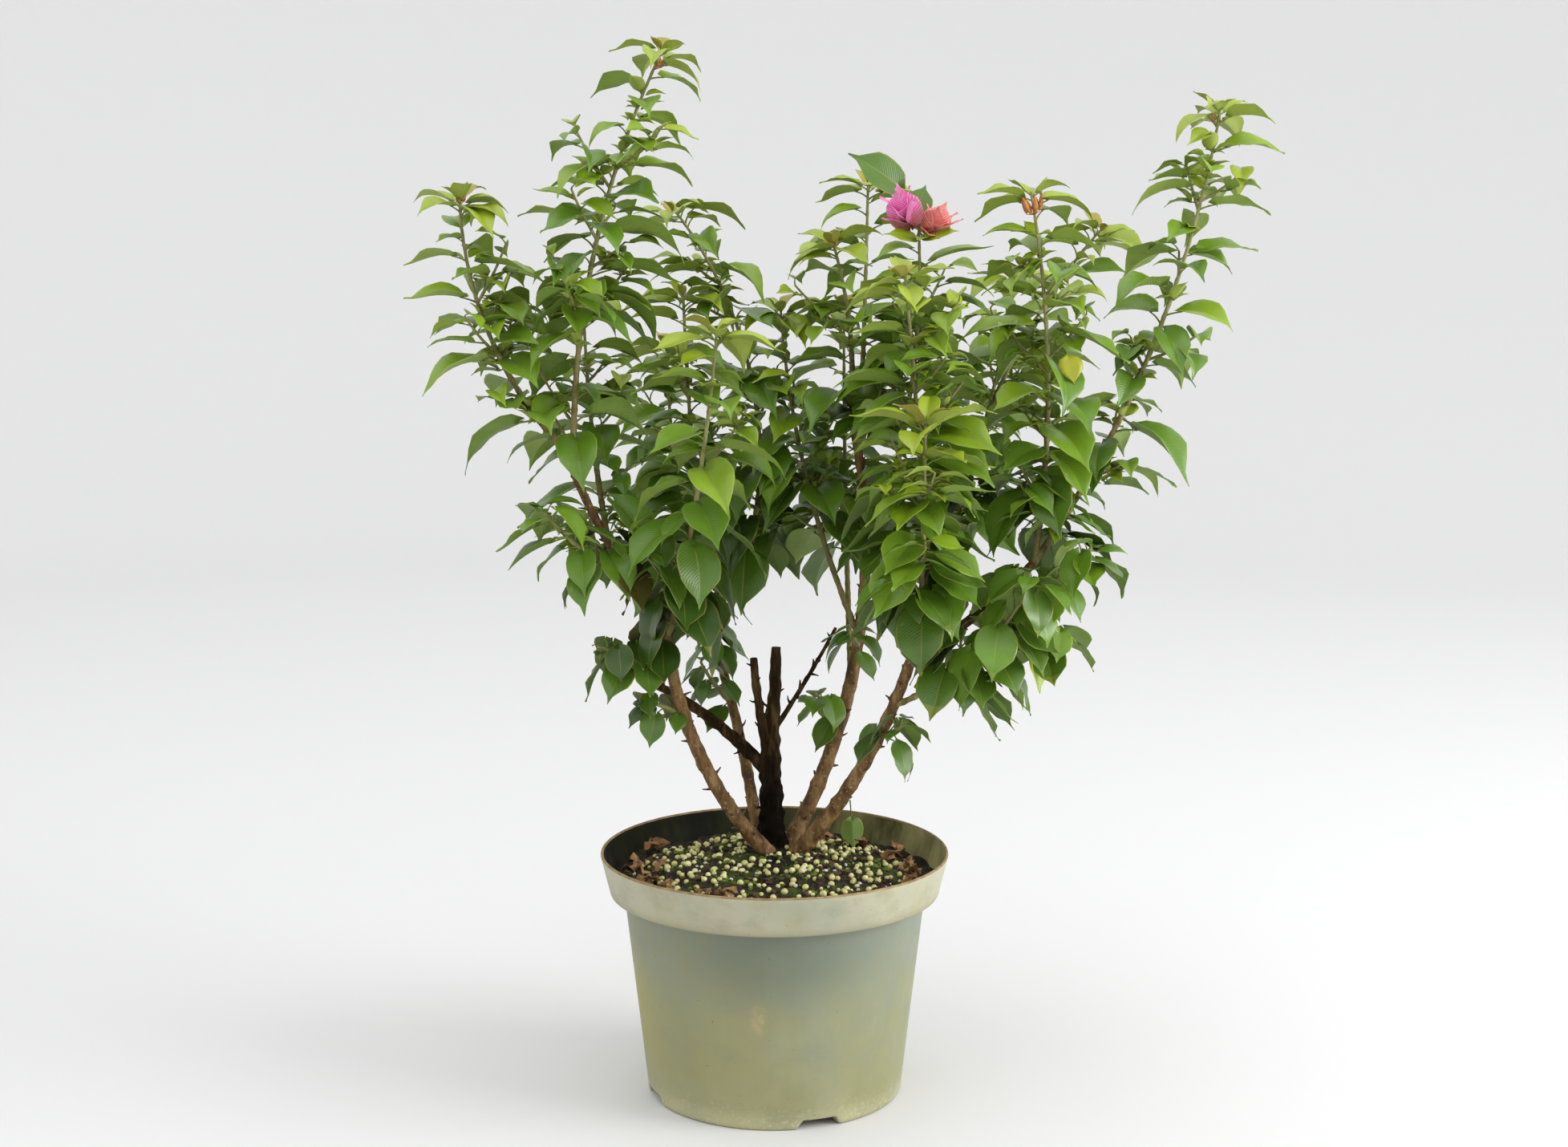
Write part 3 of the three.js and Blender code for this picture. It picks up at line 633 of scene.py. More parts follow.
def lay_out(row, path, draw):
    """The sites of one mass's leaves and side twigs."""
    length, scale = row["length"], row.get("size", 1)
    leaves, twigs = [], []
    turn = draw(0, 360)
    for share in nodes_along(path, row, draw):
        place = path.at(share)
        from_tip = length * (1 - share)
        age = max(clamp01(from_tip / LEAF["old_at"]), row.get("age", 0))
        near, far = LEAF["grown_below"]
        growth = mix(math.sqrt(clamp01(from_tip / near)), from_tip / far, 0.5)
        size = scale * mix(1, LEAF["low_size"], lowness(place[0]))
        size *= mix(LEAF["young"], LEAF["grown"], min(1, growth))
        leaves.append(dict(
            frame=place, turn=turn + draw(-24, 24), size=size * uneven(draw), age=age, from_tip=from_tip,
            roll=draw(-LEAF["roll"], LEAF["roll"]), tone=draw(-1, 1), sag=draw(-14, 16),
        ))
        side_length = scale * draw(*TWIG["length"])
        side_turn = turn + draw(120, 240)
        if draw(0, 1) < SHOOT["twigs"] and from_tip > TWIG["from_tip"]:
            twigs.append(grow_twig(place, side_turn, side_length, age, draw))
        turn += LEAF["turn"] + draw(-16, 16)
    if "bare_tip" not in row:
        leaves += tip_whorl(path, row, turn, draw)
    return leaves, twigs


def uneven(draw):
    """A leaf's size against the usual."""
    small = draw(0, 1) < STUNTED["share"]
    return draw(*STUNTED["size" if small else "usual"])


def grow_twig(place, turn, length, age, draw):
    """A side twig with leaves on alternate sides and one at its tip."""
    point, along, across, side = place
    way = turned(along, turned(across, side, turn), TWIG["lean"])
    bent = unit(way + UP * math.tan(math.radians(TWIG["rise"])))
    elbow = point + way * length / 2
    tip = elbow + bent * length / 2
    count = max(2, round(length / TWIG["leaf_gap"]))
    leaves = []
    for i in range(1, count + 1):
        share = i / count
        ways = way if share < 0.5 else bent
        spot = mix(point, elbow, share * 2) if share < 0.5 else mix(elbow, tip, share * 2 - 1)
        leaves.append(dict(
            frame=(spot, ways, *ways_across(ways)), turn=turn + 90 + 180 * (i % 2) + draw(-40, 40),
            size=mix(LEAF["grown"] * 0.82, LEAF["grown"] * 0.5, share) * uneven(draw),
            age=age * (1 - share / 2), from_tip=(1 - share) * length + 20,
            roll=draw(-LEAF["roll"], LEAF["roll"]), tone=draw(-0.8, 1.2), sag=draw(-14, 16),
        ))
    return dict(points=np.array([point, elbow, tip]), leaves=leaves)


class Crown:
    """Keeps each leaf in its mass's space, off the limbs and off the leaves that are already there."""

    def __init__(self):
        self.names = list(shoots)
        self.stems = np.array([shoots[n].points[::4] for n in self.names])
        self.limbs = np.concatenate([path.points[::4] for path in limbs.values()])
        self.cores = np.zeros((0, 3))

    def in_space(self, name, places):
        """Whether all places are nearest to the mass's own stem, or nearly so."""
        away = np.linalg.norm(places[:, None, None, :] - self.stems[None], axis=-1).min(axis=2)
        own = away[:, self.names.index(name)]
        return bool(np.all(own - SHOOT["give"] <= away.min(axis=1)))

    def in_heart(self, places):
        """Whether a place is in the crown's bare heart."""
        flat = np.linalg.norm(places[:, :2] - np.array(HEART["centre"]), axis=1)
        return bool(np.any((flat < HEART["radius"]) & (places[:, 2] < HEART["top"])))

    def free(self, pose):
        """Whether a leaf is off the limbs and off the leaves that are there."""
        from_limbs = np.linalg.norm(pose["places"][:, None] - self.limbs[None], axis=-1).min()
        if from_limbs < LEAF["off_limbs"]:
            return False
        if len(self.cores) == 0:
            return True
        return np.linalg.norm(pose["core"][:, None] - self.cores[None], axis=-1).min() > LEAF["apart"]

    def place(self, name, site):
        """The first pose that fits, or None. Leaves that crowd at a tip take the pose that they have."""
        if site.get("crowded"):
            pose = leaf_pose(site)
            self.cores = np.concatenate([self.cores, pose["core"]])
            return pose
        for shift in LEAF["tries"]:
            pose = leaf_pose(site, shift)
            inside = self.in_heart(pose["places"]) and not name.startswith("sprig")
            if not inside and self.in_space(name, pose["places"]) and self.free(pose):
                self.cores = np.concatenate([self.cores, pose["core"]])
                return pose
        return None


# ---------------------------------------------------------------- one leaf

# How far across the blade its points lie, with the midrib about 0, and how many rows run from base to tip.
FINE_LEAF = dict(rows=10, across=np.array([-1, -0.93, -0.6, -0.26, -0.028, 0.028, 0.26, 0.6, 0.93, 1]))
SMALL_LEAF = dict(rows=7, across=np.array([-1, -0.5, 0, 0.5, 1]))


def leaf_surface(mesh, size, fold, arch, curl, wave, phase, half_width, twist):
    """Points of the blade's upper face, row by row from base to tip: across, along and out of its plane."""
    even = np.linspace(0, 1, mesh["rows"])
    t = 0.5 * even + 0.5 * (0.5 - 0.5 * np.cos(math.pi * even))
    outline = t ** 0.42 * (1 - t) ** 0.82 * mix(1, 0.3, smooth_step(0.58, 0.9, t))
    width = outline / outline.max() * half_width * size
    width[0] = 0.02 * size
    width[-1] = 0.006 * size
    slope = np.radians(12 - arch * t ** 1.3 - curl * smooth_step(0.7, 1, t))
    step = np.diff(t, prepend=0) * size
    along = np.cumsum(np.cos(slope) * step)
    rise = np.cumsum(np.sin(slope) * step)
    u = mesh["across"][None, :]
    x = u * width[:, None]
    back = 0.12 * size * np.abs(u) ** 1.6 * (1 - t[:, None]) ** 7
    steep = math.tan(math.radians(fold))
    gull = np.abs(u) * steep - 0.45 * u ** 2 * steep
    ruffle = wave * size * np.sin(phase + 13 * t[:, None]) * u ** 2 * np.sign(u)
    lift = rise[:, None] + gull * width[:, None] + ruffle + x * t[:, None] * math.tan(twist)
    points = np.stack([x * math.cos(math.radians(fold * 0.6)), along[:, None] - back, lift], axis=-1)
    coords = np.stack(np.broadcast_arrays(u * 0.5 + 0.5, t[:, None] * 3.1 - 0.9 * np.abs(u)), axis=-1)
    return points, coords


def pose_facing(base, way, toward, **more):
    """A leaf's base and ways, its upper face turned as far towards a way as it can be."""
    face = unit(np.cross(np.cross(way, toward), way))
    return dict(base=base, way=way, face=face, side=np.cross(way, face), **more)


def add_leaf(bundle, pose, size, fold, arch, curl, wave, phase, half_width=LEAF["half_width"],
             thickness=LEAF["thickness"], twist=0.0, worn_rows=0):
    """A closed thin blade: its upper face in slot 0, underside in 1, margin, midrib and worn tip in 2."""
    detail = FINE_LEAF if size > 21 else SMALL_LEAF
    top, coords = leaf_surface(detail, size, fold, arch, curl, wave, phase, half_width, twist)
    rows, columns = top.shape[:2]
    axes = np.stack([pose["side"], pose["way"], pose["face"]])
    under = top.copy()
    under[:, :, 2] -= thickness * (1 - 0.5 * np.abs(detail["across"][None, :]) ** 6)
    placed = np.concatenate([top.reshape(-1, 3), under.reshape(-1, 3)]) @ axes + pose["base"]
    faces = grid_faces(rows, columns)
    strip = np.tile(np.arange(columns - 1), rows - 1)
    middle = (columns - 2) // 2
    margin = (strip % middle == 0) & (columns > 5)
    margin |= np.arange(len(faces)) // (columns - 1) >= rows - 1 - worn_rows
    total = rows * columns
    rim = np.concatenate([
        np.arange(columns), np.arange(1, rows) * columns + columns - 1,
        (rows - 1) * columns + np.arange(columns - 2, -1, -1), np.arange(rows - 2, 0, -1) * columns,
    ])
    following = np.roll(rim, -1)
    edge = np.stack([rim, rim + total, following + total, following], axis=-1)
    quads = np.concatenate([faces, faces[:, ::-1] + total, edge])
    slots = np.concatenate([np.where(margin, 2, 0), np.where(margin, 2, 1), np.full(len(edge), 2)])
    bundle.add(placed, quads.ravel(), np.full(len(quads), 4), slots, np.tile(coords.reshape(-1, 2), (2, 1)))


def add_petiole(bundle, pose, size):
    """A leaf stalk that leaves the stem as it should and meets the blade along its midrib."""
    start, end = pose["root"], pose["base"] + pose["way"] * size * 0.03
    reach = np.linalg.norm(end - start)
    bend = end - pose["way"] * reach * 0.35
    path = curve(start, start * 0.35 + bend * 0.65, end, 5)
    add_tube(bundle, path, np.linspace(0.8, 0.5, 5) * (0.5 + size / 100), 4)


def make_single_leaf(name, stalk_name, pose, size, fold, arch, half_width, kind):
    """One leaf that has a place of its own, and its stalk."""
    leaf, stalk = Bundle(), Bundle()
    add_leaf(leaf, pose, size, fold, arch, 0, 0.01, 1, half_width)
    add_petiole(stalk, pose, size)
    leaf.build(name, leaf_materials(kind), "foliage")
    stalk.build(stalk_name, [shoot_material()], "foliage")


def kind_of(site, low):
    """The colour kind that a leaf of this age and place takes."""
    from_tip, tone, age, x = site["from_tip"], site["tone"], site["age"], site["frame"][0][0]
    if from_tip < YOUNG["bronze_within"] and tone > YOUNG["bronze_tone"] and age < YOUNG["bronze_age"]:
        return "bronze"
    if from_tip < YOUNG["within"] + YOUNG["tone_spread"] * tone and age < YOUNG["age"]:
        return "young"
    if low > WORN["lowness"] and tone > WORN["tone"] and x < WORN["right_end"]:
        return "worn"
    left = clamp01(-x / DEEPENING["left_over"])
    depth = age * DEEPENING["age"] + tone * DEEPENING["tone"]
    depth += low * (DEEPENING["low"] + DEEPENING["low_left"] * left)
    names = ("bright", "fresh", "green", "deep", "dark")
    return names[int(min(4, max(0, depth)))]


# ---------------------------------------------------------------- shoots and foliage


def stem_radii(path_points, radius, seed, sides, relief, node_gap=12, swelling=0.16, along_rate=0.5):
    """Radii of a stem with a little swelling at each node and a fine relief."""
    count = len(path_points)
    share = np.linspace(0, 1, count)
    run = run_along(path_points)
    base = mix(radius[0], radius[1], share)
    swell = swelling * np.exp(-(((run + node_gap / 2) % node_gap - node_gap / 2) / 1.6) ** 2)
    angles = ring_angles(sides)
    rough = ripple(seed, run[:, None], angles[None, :], 16, along_rate, 6)
    return (base * (1 + swell))[:, None] * (1 + relief * rough)


def make_foliage():
    """Grows every mass and builds its wood, stalks and leaves, each kind joined in its own piece."""
    crown, draw = Crown(), Draw(SEED)
    woody, green, stalks = Bundle(), Bundle(), Bundle()
    blades = {kind: Bundle() for kind in LEAF_KINDS}
    nodes_of = {kind: set() for kind in LEAF_KINDS}
    for index, row in enumerate(MASSES):
        name, path = row["name"], shoots[row["name"]]
        add_shoot(woody, green, path, index)
        leaves, twigs = lay_out(row, path, draw)
        kept = [t for t in twigs if crown.in_space(name, t["points"][1:])]
        for number, twig in enumerate(kept):
            add_twig(green, twig["points"], index * 40 + number)
        for site in leaves + [leaf for twig in kept for leaf in twig["leaves"]]:
            pose = crown.place(name, site)
            if pose is None:
                continue
            kind = kind_of(site, pose["low"])
            dress_leaf(blades[kind], stalks, pose, site, draw)
            nodes_of[kind].add(name)
            share = SPUR["share"] * (1 - SPUR["thinning"] * pose["low"])
            if draw(0, 1) < share and site["from_tip"] > SPUR["from_tip"]:
                spur_kind = "young" if pose["low"] < SPUR["young_below"] else "bright"
                add_spur(blades[spur_kind], site, draw)
                nodes_of[spur_kind].add(name)
    every_mass = [row["name"] for row in MASSES]
    woody.build("shoots_woody", [bark_material("shoot bark", young=True)], "bark", every_mass)
    green.build("shoots_green", [shoot_material()], "bark", every_mass)
    stalks.build("leaf_stalks", [mottled("leaf stalk", rgb(112, 128, 52), rgb(134, 146, 66), 300)], "foliage")
    for kind, bundle in blades.items():
        if bundle.count:
            bundle.build(f"leaves_{kind}", leaf_materials(kind), "foliage", sorted(nodes_of[kind]))


def dress_leaf(bundle, stalks, pose, site, draw):
    """One leaf with its own fold, arch and curl."""
    age, low = site["age"], pose["low"]
    add_leaf(
        bundle, pose, site["size"],
        fold=mix(38, 16, clamp01(age * 0.4 + low * 0.8)) + draw(-12, 12),
        arch=mix(46, 26, low) + draw(-22, 20),
        curl=draw(-30, 28),
        wave=draw(0.004, 0.03),
        phase=draw(0, 6.28),
        twist=math.radians(draw(-24, 24)),
        worn_rows=int(low * draw(0, 3.4)),
        half_width=LEAF["half_width"] * mix(0.88, 1.12, clamp01(age * 0.3 + low)) * draw(0.88, 1.08),
    )
    add_petiole(stalks, pose, site["size"])


def add_spur(bundle, site, draw):
    """A spur of small leaves in a leaf's axil."""
    turn = site["turn"] + draw(-30, 30)
    for step in range(int(draw(*SPUR["leaves"]))):
        size, sag = draw(*SPUR["size"]), draw(-50, 0)
        small = dict(site, turn=turn + LEAF["turn"] * step, size=size, age=0.2, sag=sag)
        add_leaf(bundle, leaf_pose(small), size, 34, 36, 0, 0.004, 0, 0.36)


def add_shoot(woody, green, path, seed):
    """A mass's main stem: brown below, green from where it is young."""
    points = path.sampled(1.8)
    sides = 10
    radii = stem_radii(points, SHOOT["radius"], seed, sides, 0.06, node_gap=9)
    split = int(len(points) * SHOOT["green_from"]) if path.length > 100 else 3
    tip = unit(points[-1] - points[-2])
    add_tube(woody, points[:split + 1], radii[:split + 1], sides)
    points = np.vstack([points[split:], points[-1] + tip * 1.2])
    add_tube(green, points, np.vstack([radii[split:], radii[-1:] * 0.4]), sides)


def add_twig(bundle, corners, seed):
    """A side twig, bent smoothly at its elbow."""
    points = curve(*corners, 22)
    add_tube(bundle, points, stem_radii(points, TWIG["radius"], seed + 900, 8, 0.05, node_gap=8), 8)


# ---------------------------------------------------------------- limbs with bark


def bark_material(name, young=False):
    """Brown bark, greyer on the young wood, with fine cracks along it and pale dots."""
    shader = Shader(name, 0.78)
    if young:
        dark, middle, pale = rgb(92, 78, 40), rgb(134, 122, 74), rgb(168, 158, 108)
    else:
        dark, middle, pale = rgb(58, 38, 16), rgb(116, 84, 44), rgb(160, 130, 84)
    streaks = shader.ramp(shader.noise(150, stretch=(1, 1, 0.25)), [(0.3, dark), (0.5, middle), (0.72, pale)])
    shader.colour(shader.blend(shader.blotches(430, 1, 0.64, 0.7, 0.5), streaks, rgb(182, 164, 128)))
    shader.bump(shader.noise(240, stretch=(1, 1, 0.2)), 0.7, 0.0012)
    shader.bump(shader.noise(700, stretch=(1, 1, 0.4)), 0.6, 0.0005)
    return shader.material


def shoot_material():
    """Pale green bark of young wood."""
    return mottled("green shoot", rgb(118, 118, 62), rgb(156, 152, 98), 260, 0.6, (0.4, 0.0004), (1, 1, 0.35))


def old_wood_material():
    """Dead bark, near black low down and brown towards the broken ends."""
    shader = Shader("old dead wood", 0.9, Specular_IOR_Level=0.12)
    ridges = shader.noise(200, detail=6, stretch=(1, 1, 0.16))
    black = shader.ramp(ridges, [(0.36, rgb(6, 4, 2)), (0.6, rgb(19, 12, 5)), (0.76, rgb(58, 42, 24))])
    brown = shader.ramp(ridges, [(0.3, rgb(28, 19, 8)), (0.5, rgb(58, 43, 22)), (0.72, rgb(108, 86, 56))])
    upward = shader.ramp(shader.axis("Z"), [(0.215, 0.0), (0.27, 0.9)])
    shader.colour(shader.blend(upward, black, brown))
    shader.bump(shader.noise(380, detail=6, stretch=(1, 1, 0.2)), 0.8, 0.001)
    return shader.material


def make_limbs():
    """A mesh with the bark's relief in place of each stem, bough and old stub."""
    bark, dead = bark_material("stem bark"), old_wood_material()
    stub = mottled("dry stub", rgb(66, 44, 28), rgb(122, 94, 66), 500, 0.85)
    for index, row in enumerate(LIMBS):
        name, path = row["name"], limbs[row["name"]]
        old = name in OLD_WOOD
        relief, swelling = (0.09, 0.0) if old else (0.05, 0.07)
        sunk = 6 if "foot" in row else 0
        closing = np.linspace(0, 1, 6)[1:] if row.get("rounded") else np.zeros(0)
        points = path.sampled(1.0)
        below = points[0] - UP * np.arange(sunk, 0, -1)[:, None]
        points = np.vstack([below, points, points[-1] + path.at(1)[1] * 5 * closing[:, None]])
        sides = 28 if row["radius"][0] > 3 else 18
        radii = stem_radii(points, row["radius"], 300 + index, sides, relief, 19, swelling, 0.6)
        radii = radii + widening(row, np.maximum(0, np.arange(len(points)) - sunk))[:, None]
        if len(closing):
            radii[-len(closing):] *= np.sqrt(1.02 - closing ** 2)[:, None]
        bundle = Bundle()
        add_tube(bundle, points, radii, sides)
        add_stubs(bundle, path, row, index)
        materials, slot = ([dead, dead], "old_wood") if old else ([bark, stub], "bark")
        bundle.build(f"bark_{name}", materials, slot, [name])


def widening(row, run):
    """How far a limb spreads at its foot, or over what carries it."""
    spread = row.get("flare", 0) * np.exp(-run / 14)
    if row.get("at", 0) == 1:
        parent = next(other for other in LIMBS if other["name"] == row["parent"])
        return spread + (parent["radius"][1] - row["radius"][0]) * np.exp(-run / 16)
    if "parent" in row:
        return spread + 0.35 * row["radius"][0] * np.exp(-run / 5)
    return spread


def add_stubs(bundle, path, row, seed):
    """Short dry spur stubs and thorns, turn by turn up a limb, each on a small pad."""
    draw = Draw(SEED + 31 * (seed + 1))
    place, turn = 14.0, draw(0, 360)
    while place < row["length"] - 4:
        share = place / row["length"]
        point, along, across, side = path.at(share)
        radial = turned(across, side, turn)
        radius = mix(*row["radius"], share)
        reach = draw(0.8, 6.4)
        way = unit(radial + along * draw(0.2, 0.8))
        start = point + radial * radius * 0.5
        bend = start + way * (radius * 0.5 + reach * 0.5)
        tip = bend + unit(way + along * draw(-0.2, 0.9)) * reach * 0.5
        corners = np.array([start, start + way * radius * 0.5, bend, tip])
        add_tube(bundle, corners, np.array([2.0, 1.5, 0.85, 0.5]) * draw(0.7, 1.1), 7, slot=1)
        place += draw(5, 12)
        turn += LEAF["turn"] + draw(-30, 30)


# ---------------------------------------------------------------- blossom and buds


def bract_material(name, dark, light):
    """Papery, slightly veined and browner at the base."""
    shader = Shader(name, 0.55)
    veins = shader.veins(1.6, 2.5)
    near_base = shader.ramp(shader.axis("Y", shader.surface()), [(0.0, 0.7), (0.7, 0.0)])
    shader.colour(shader.blend(near_base, shader.blend(veins, dark, light), rgb(178, 108, 62)))
    shader.bump(veins, 0.5, 0.0006)
    return shader.material


BLOSSOM = [
    # azimuth and lean of a cluster's axis, its reach from the shoot's tip and how far below it the bracts
    # start, and each bract's turn, opening and share
    dict(azimuth=215, lean=62, reach=9, below=8, length=32, colour="pink",
         bracts=((95, 14, 1), (10, 30, 0.95), (200, 18, 0.92), (280, 12, 1), (35, 60, 0.72), (140, 36, 0.8))),
    dict(azimuth=338, lean=72, reach=9, below=13, length=27, colour="coral",
         bracts=((80, 22, 0.92), (180, 46, 1), (130, 58, 0.9), (20, 30, 0.86), (270, 18, 1), (215, 34, 0.95),
                 (95, 84, 0.7))),
]
BLOSSOM_LEAVES = [
    # azimuth, lean, size, the base from the shoot's tip, the way that the leaf faces, half width and kind
    (186, 58, 44, (-14, 9, 24), (0.2, -1, 0.7), 0.34, "deep"),
    (60, 38, 27, (-2, 10, 4), (0.2, -1, 0.5), 0.36, "deep"),
    (198, 82, 24, (-3, -9, -13), (0, -0.8, 1), 0.3, "young"),
    (342, 80, 26, (4, -9, -12), (0, -0.8, 1), 0.3, "young"),
    (262, 96, 19, (2, -8, -12), (0, -0.6, 1), 0.32, "young"),
]
YELLOW_LEAF = dict(at=0.56, azimuth=300, lean=160, size=20, base=(11, -32, 2), facing=(0.1, -1, 0.3))


def make_blossom():
    """Bracts round the flowering shoot's tip, each cluster a papery cup round a slim tube flower."""
    tip = shoots["foliage_blossom"].points[-1]
    colours = {
        "pink": bract_material("pink bract", rgb(255, 96, 196), rgb(255, 190, 234)),
        "coral": bract_material("coral bract", rgb(248, 114, 124), rgb(255, 196, 184)),
    }
    stems = Bundle()
    for index, cluster in enumerate(BLOSSOM):
        axis = heading(cluster["azimuth"], cluster["lean"])
        start = tip + axis * cluster["reach"] - UP * cluster["below"]
        upright = unit(axis + UP * 1.6)
        bundle = Bundle()
        draw = Draw(SEED + 7 * index)
        for turn, opening, share in cluster["bracts"]:
            add_bract(bundle, start, upright, turn, cluster["length"] * share, draw, opening)
        bundle.build(f"bracts_{cluster['colour']}", [colours[cluster["colour"]]] * 3, "foliage")
        stalk = np.array([tip - UP * 6, tip + axis * cluster["reach"] * 0.5 - UP * 3, start])
        add_tube(stems, stalk, np.array([0.8, 0.7, 0.8]), 6)
        for turn in (0, 120, 240):
            way = unit(upright + 0.25 * heading(turn, 90))
            add_tube(stems, [start, start + way * 6, start + way * 12], [0.7, 0.9, 1.2], 7)
    cream = mottled("tube flower", rgb(150, 128, 70), rgb(196, 166, 104), 400)
    stems.build("tube_flowers", [cream], "foliage")
    make_blossom_leaves(tip)


def make_blossom_leaves(tip):
    """The leaves by the blossom: a large one that stands up, and small ones in front of and behind it."""
    for index, (azimuth, lean, size, base, facing, half_width, kind) in enumerate(BLOSSOM_LEAVES):
        pose = pose_facing(tip + np.array(base, float), heading(azimuth, lean), facing, root=tip - UP * 4)
        names = f"leaf_by_blossom_{index}", f"leaf_stalk_by_blossom_{index}"
        make_single_leaf(*names, pose, size, 16, 22, half_width, kind)


def make_yellow_leaf():
    """One old leaf that has turned yellow and hangs in front of its shoot."""
    point = shoots["foliage_right_front"].at(YELLOW_LEAF["at"])[0]
    way = heading(YELLOW_LEAF["azimuth"], YELLOW_LEAF["lean"])
    pose = pose_facing(point + np.array(YELLOW_LEAF["base"], float), way, YELLOW_LEAF["facing"], root=point)
    make_single_leaf("leaf_yellow", "leaf_stalk_yellow", pose, YELLOW_LEAF["size"], 12, 16, 0.44, "yellow")


def add_bract(bundle, start, axis, turn, length, draw, opening):
    """One bract, cupped round the cluster's axis."""
    flat = unit(np.cross(axis, [0.3, 0.9, 0.2]))
    other = np.cross(axis, flat)
    radial = turned(flat, other, turn)
    pose = pose_facing(start, turned(axis, radial, opening), -radial)
    add_leaf(bundle, pose, length, draw(14, 26), draw(14, 26), draw(-12, 6), 0.03, draw(0, 6), 0.42, 0.25)


# Shoots with small reddish buds, how many, and how far below the tip they start. The last is a large cluster.
BUDS = [
    dict(shoot="foliage_far_left", count=3, length=(5, 9), below=4),
    dict(shoot="foliage_tall_left", count=3, length=(5, 9), below=14),
    dict(shoot="foliage_middle", count=4, length=(4, 8), below=4),
    dict(shoot="foliage_far_right", count=2, length=(4, 7), below=10),
    dict(shoot="foliage_right_front", count=12, length=(9, 14), below=15),
]


def make_buds():
    """Small reddish buds round the tips of some shoots."""
    bundle = Bundle()
    for index, row in enumerate(BUDS):
        path, draw = shoots[row["shoot"]], Draw(SEED + 90 + index)
        for _ in range(row["count"]):
            point, along, across, side = path.at(1 - row["below"] / path.length)
            away = unit(turned(across, side, draw(0, 360)) + along * draw(0, 0.8))
            way = unit(along + away * draw(0.1, 0.5))
            steps = np.linspace(0, 1, 6)
            spine = point + away * draw(2, 6) + way * (steps[:, None] * draw(*row["length"]))
            radii = 0.25 + 1.5 * np.sin(math.pi * steps ** 0.8) ** 0.8
            add_tube(bundle, np.vstack([point, spine]), np.concatenate([[0.4], radii]), 7)
    bundle.build("buds", [mottled("bud", rgb(166, 88, 40), rgb(204, 140, 76), 500)], "foliage")


# ---------------------------------------------------------------- pot


def lathe(bundle, profile, segments, slots, warp):
    """A surface of revolution from (radius, height) points that start and end on the axis."""
    profile = np.array(profile, float)
    angles = ring_angles(segments)
    inner = profile[1:-1, :, None] * np.ones(segments)
    radius, height = warp(inner[:, 0], inner[:, 1], angles)
    surface = np.stack([radius * np.cos(angles), radius * np.sin(angles), height], axis=-1)
    add_rings(bundle, surface, [(0, 0, profile[0, 1]), (0, 0, profile[-1, 1])], slots)


def pot_material():
    """Weathered plastic: olive low down, blue-grey under a pale lip, with streaks, stains and scuffs, and a
    stain deepened with painted shade under the front of the lip.
    """
    shader = Shader("weathered pot", 0.48, Specular_IOR_Level=0.4)
    black = (0, 0, 0, 1)
    height = shader.axis("Z")
    drift = shader.math("MULTIPLY_ADD", shader.noise(9, detail=3), 0.1, -0.05)
    share_up = shader.math("MULTIPLY", shader.math("ADD", height, drift), 1 / (POT["height"] * MM))
    colour = shader.ramp(share_up, [
        (0.0, rgb(158, 156, 116)), (0.2, rgb(152, 150, 106)), (0.42, rgb(148, 148, 108)),
        (0.58, rgb(141, 144, 116)), (0.72, rgb(130, 137, 121)), (0.84, rgb(136, 141, 128)),
    ])
    worn_foot = shader.ramp(height, [(0.004, 0.6), (0.016, 0.0)])
    lip = shader.ramp(height, [(0.1485, 0.0), (0.1515, 1.0)])
    lip_edge = shader.ramp(height, [(0.149, 0.0), (0.151, 0.5), (0.157, 0.0)])
    streaks = shader.blotches(30, 6, 0.5, 0.78, 0.2, (1, 1, 0.22))
    grime = shader.blotches(34, 6, 0.5, 0.7, 0.45, (1, 1, 1.6))
    clouds = shader.blotches(11, 5, 0.46, 0.66, 0.4, (1, 1, 0.7))
    stains = shader.blotches(19, 8, 0.52, 0.72, 0.5)
    # Painted shade: a darker patch under the front of the lip, partly a stain and partly the shade that the
    # lip casts.
    painted_shade_and_stain = shader.ramp(shader.patch((0.0, -0.108, 0.128), 0.08, (0.8, 1, 1.5)), [(0.0, 0.0), (0.9, 0.6)])
    yellow = shader.ramp(shader.patch((-0.104, -0.03, 0.075), 0.05, (1, 1, 0.8)), [(0.0, 0.0), (1.0, 0.6)])
    scuff = shader.patch((-0.011, -0.104, 0.084), 0.012, (1.4, 1, 0.7))
    ragged = shader.blend(1.0, scuff, shader.blotches(130, 4, 0.3, 0.56, 0.9), "MULTIPLY")
    low_down = shader.ramp(height, [(0.004, 0.5), (0.022, 0.0)])
    lime = shader.blend(low_down, black, shader.blotches(420, 4, 0.54, 0.66))
    specks = shader.blotches(330, 2, 0.73, 0.76, 0.7)
    coats = [
        (worn_foot, rgb(196, 190, 150)), (lip, rgb(180, 178, 152)), (lip_edge, rgb(150, 136, 92)),
        (streaks, rgb(184, 184, 156)), (grime, rgb(138, 138, 112)), (clouds, rgb(122, 134, 122)),
        (stains, rgb(146, 142, 84)), (shader.blend(lip, painted_shade_and_stain, black), rgb(100, 109, 90)),
        (yellow, rgb(158, 154, 78)), (ragged, rgb(184, 164, 114)), (lime, rgb(206, 204, 176)),
        (specks, rgb(96, 88, 60)),
    ]
    for share, coat in coats:
        colour = shader.blend(share, colour, coat)
    shader.colour(colour)
    shader.bump(shader.noise(320, detail=4), 0.16, 0.0005)
    shader.bump(shader.noise(1500, detail=2), 0.1, 0.0002)
    return shader.material


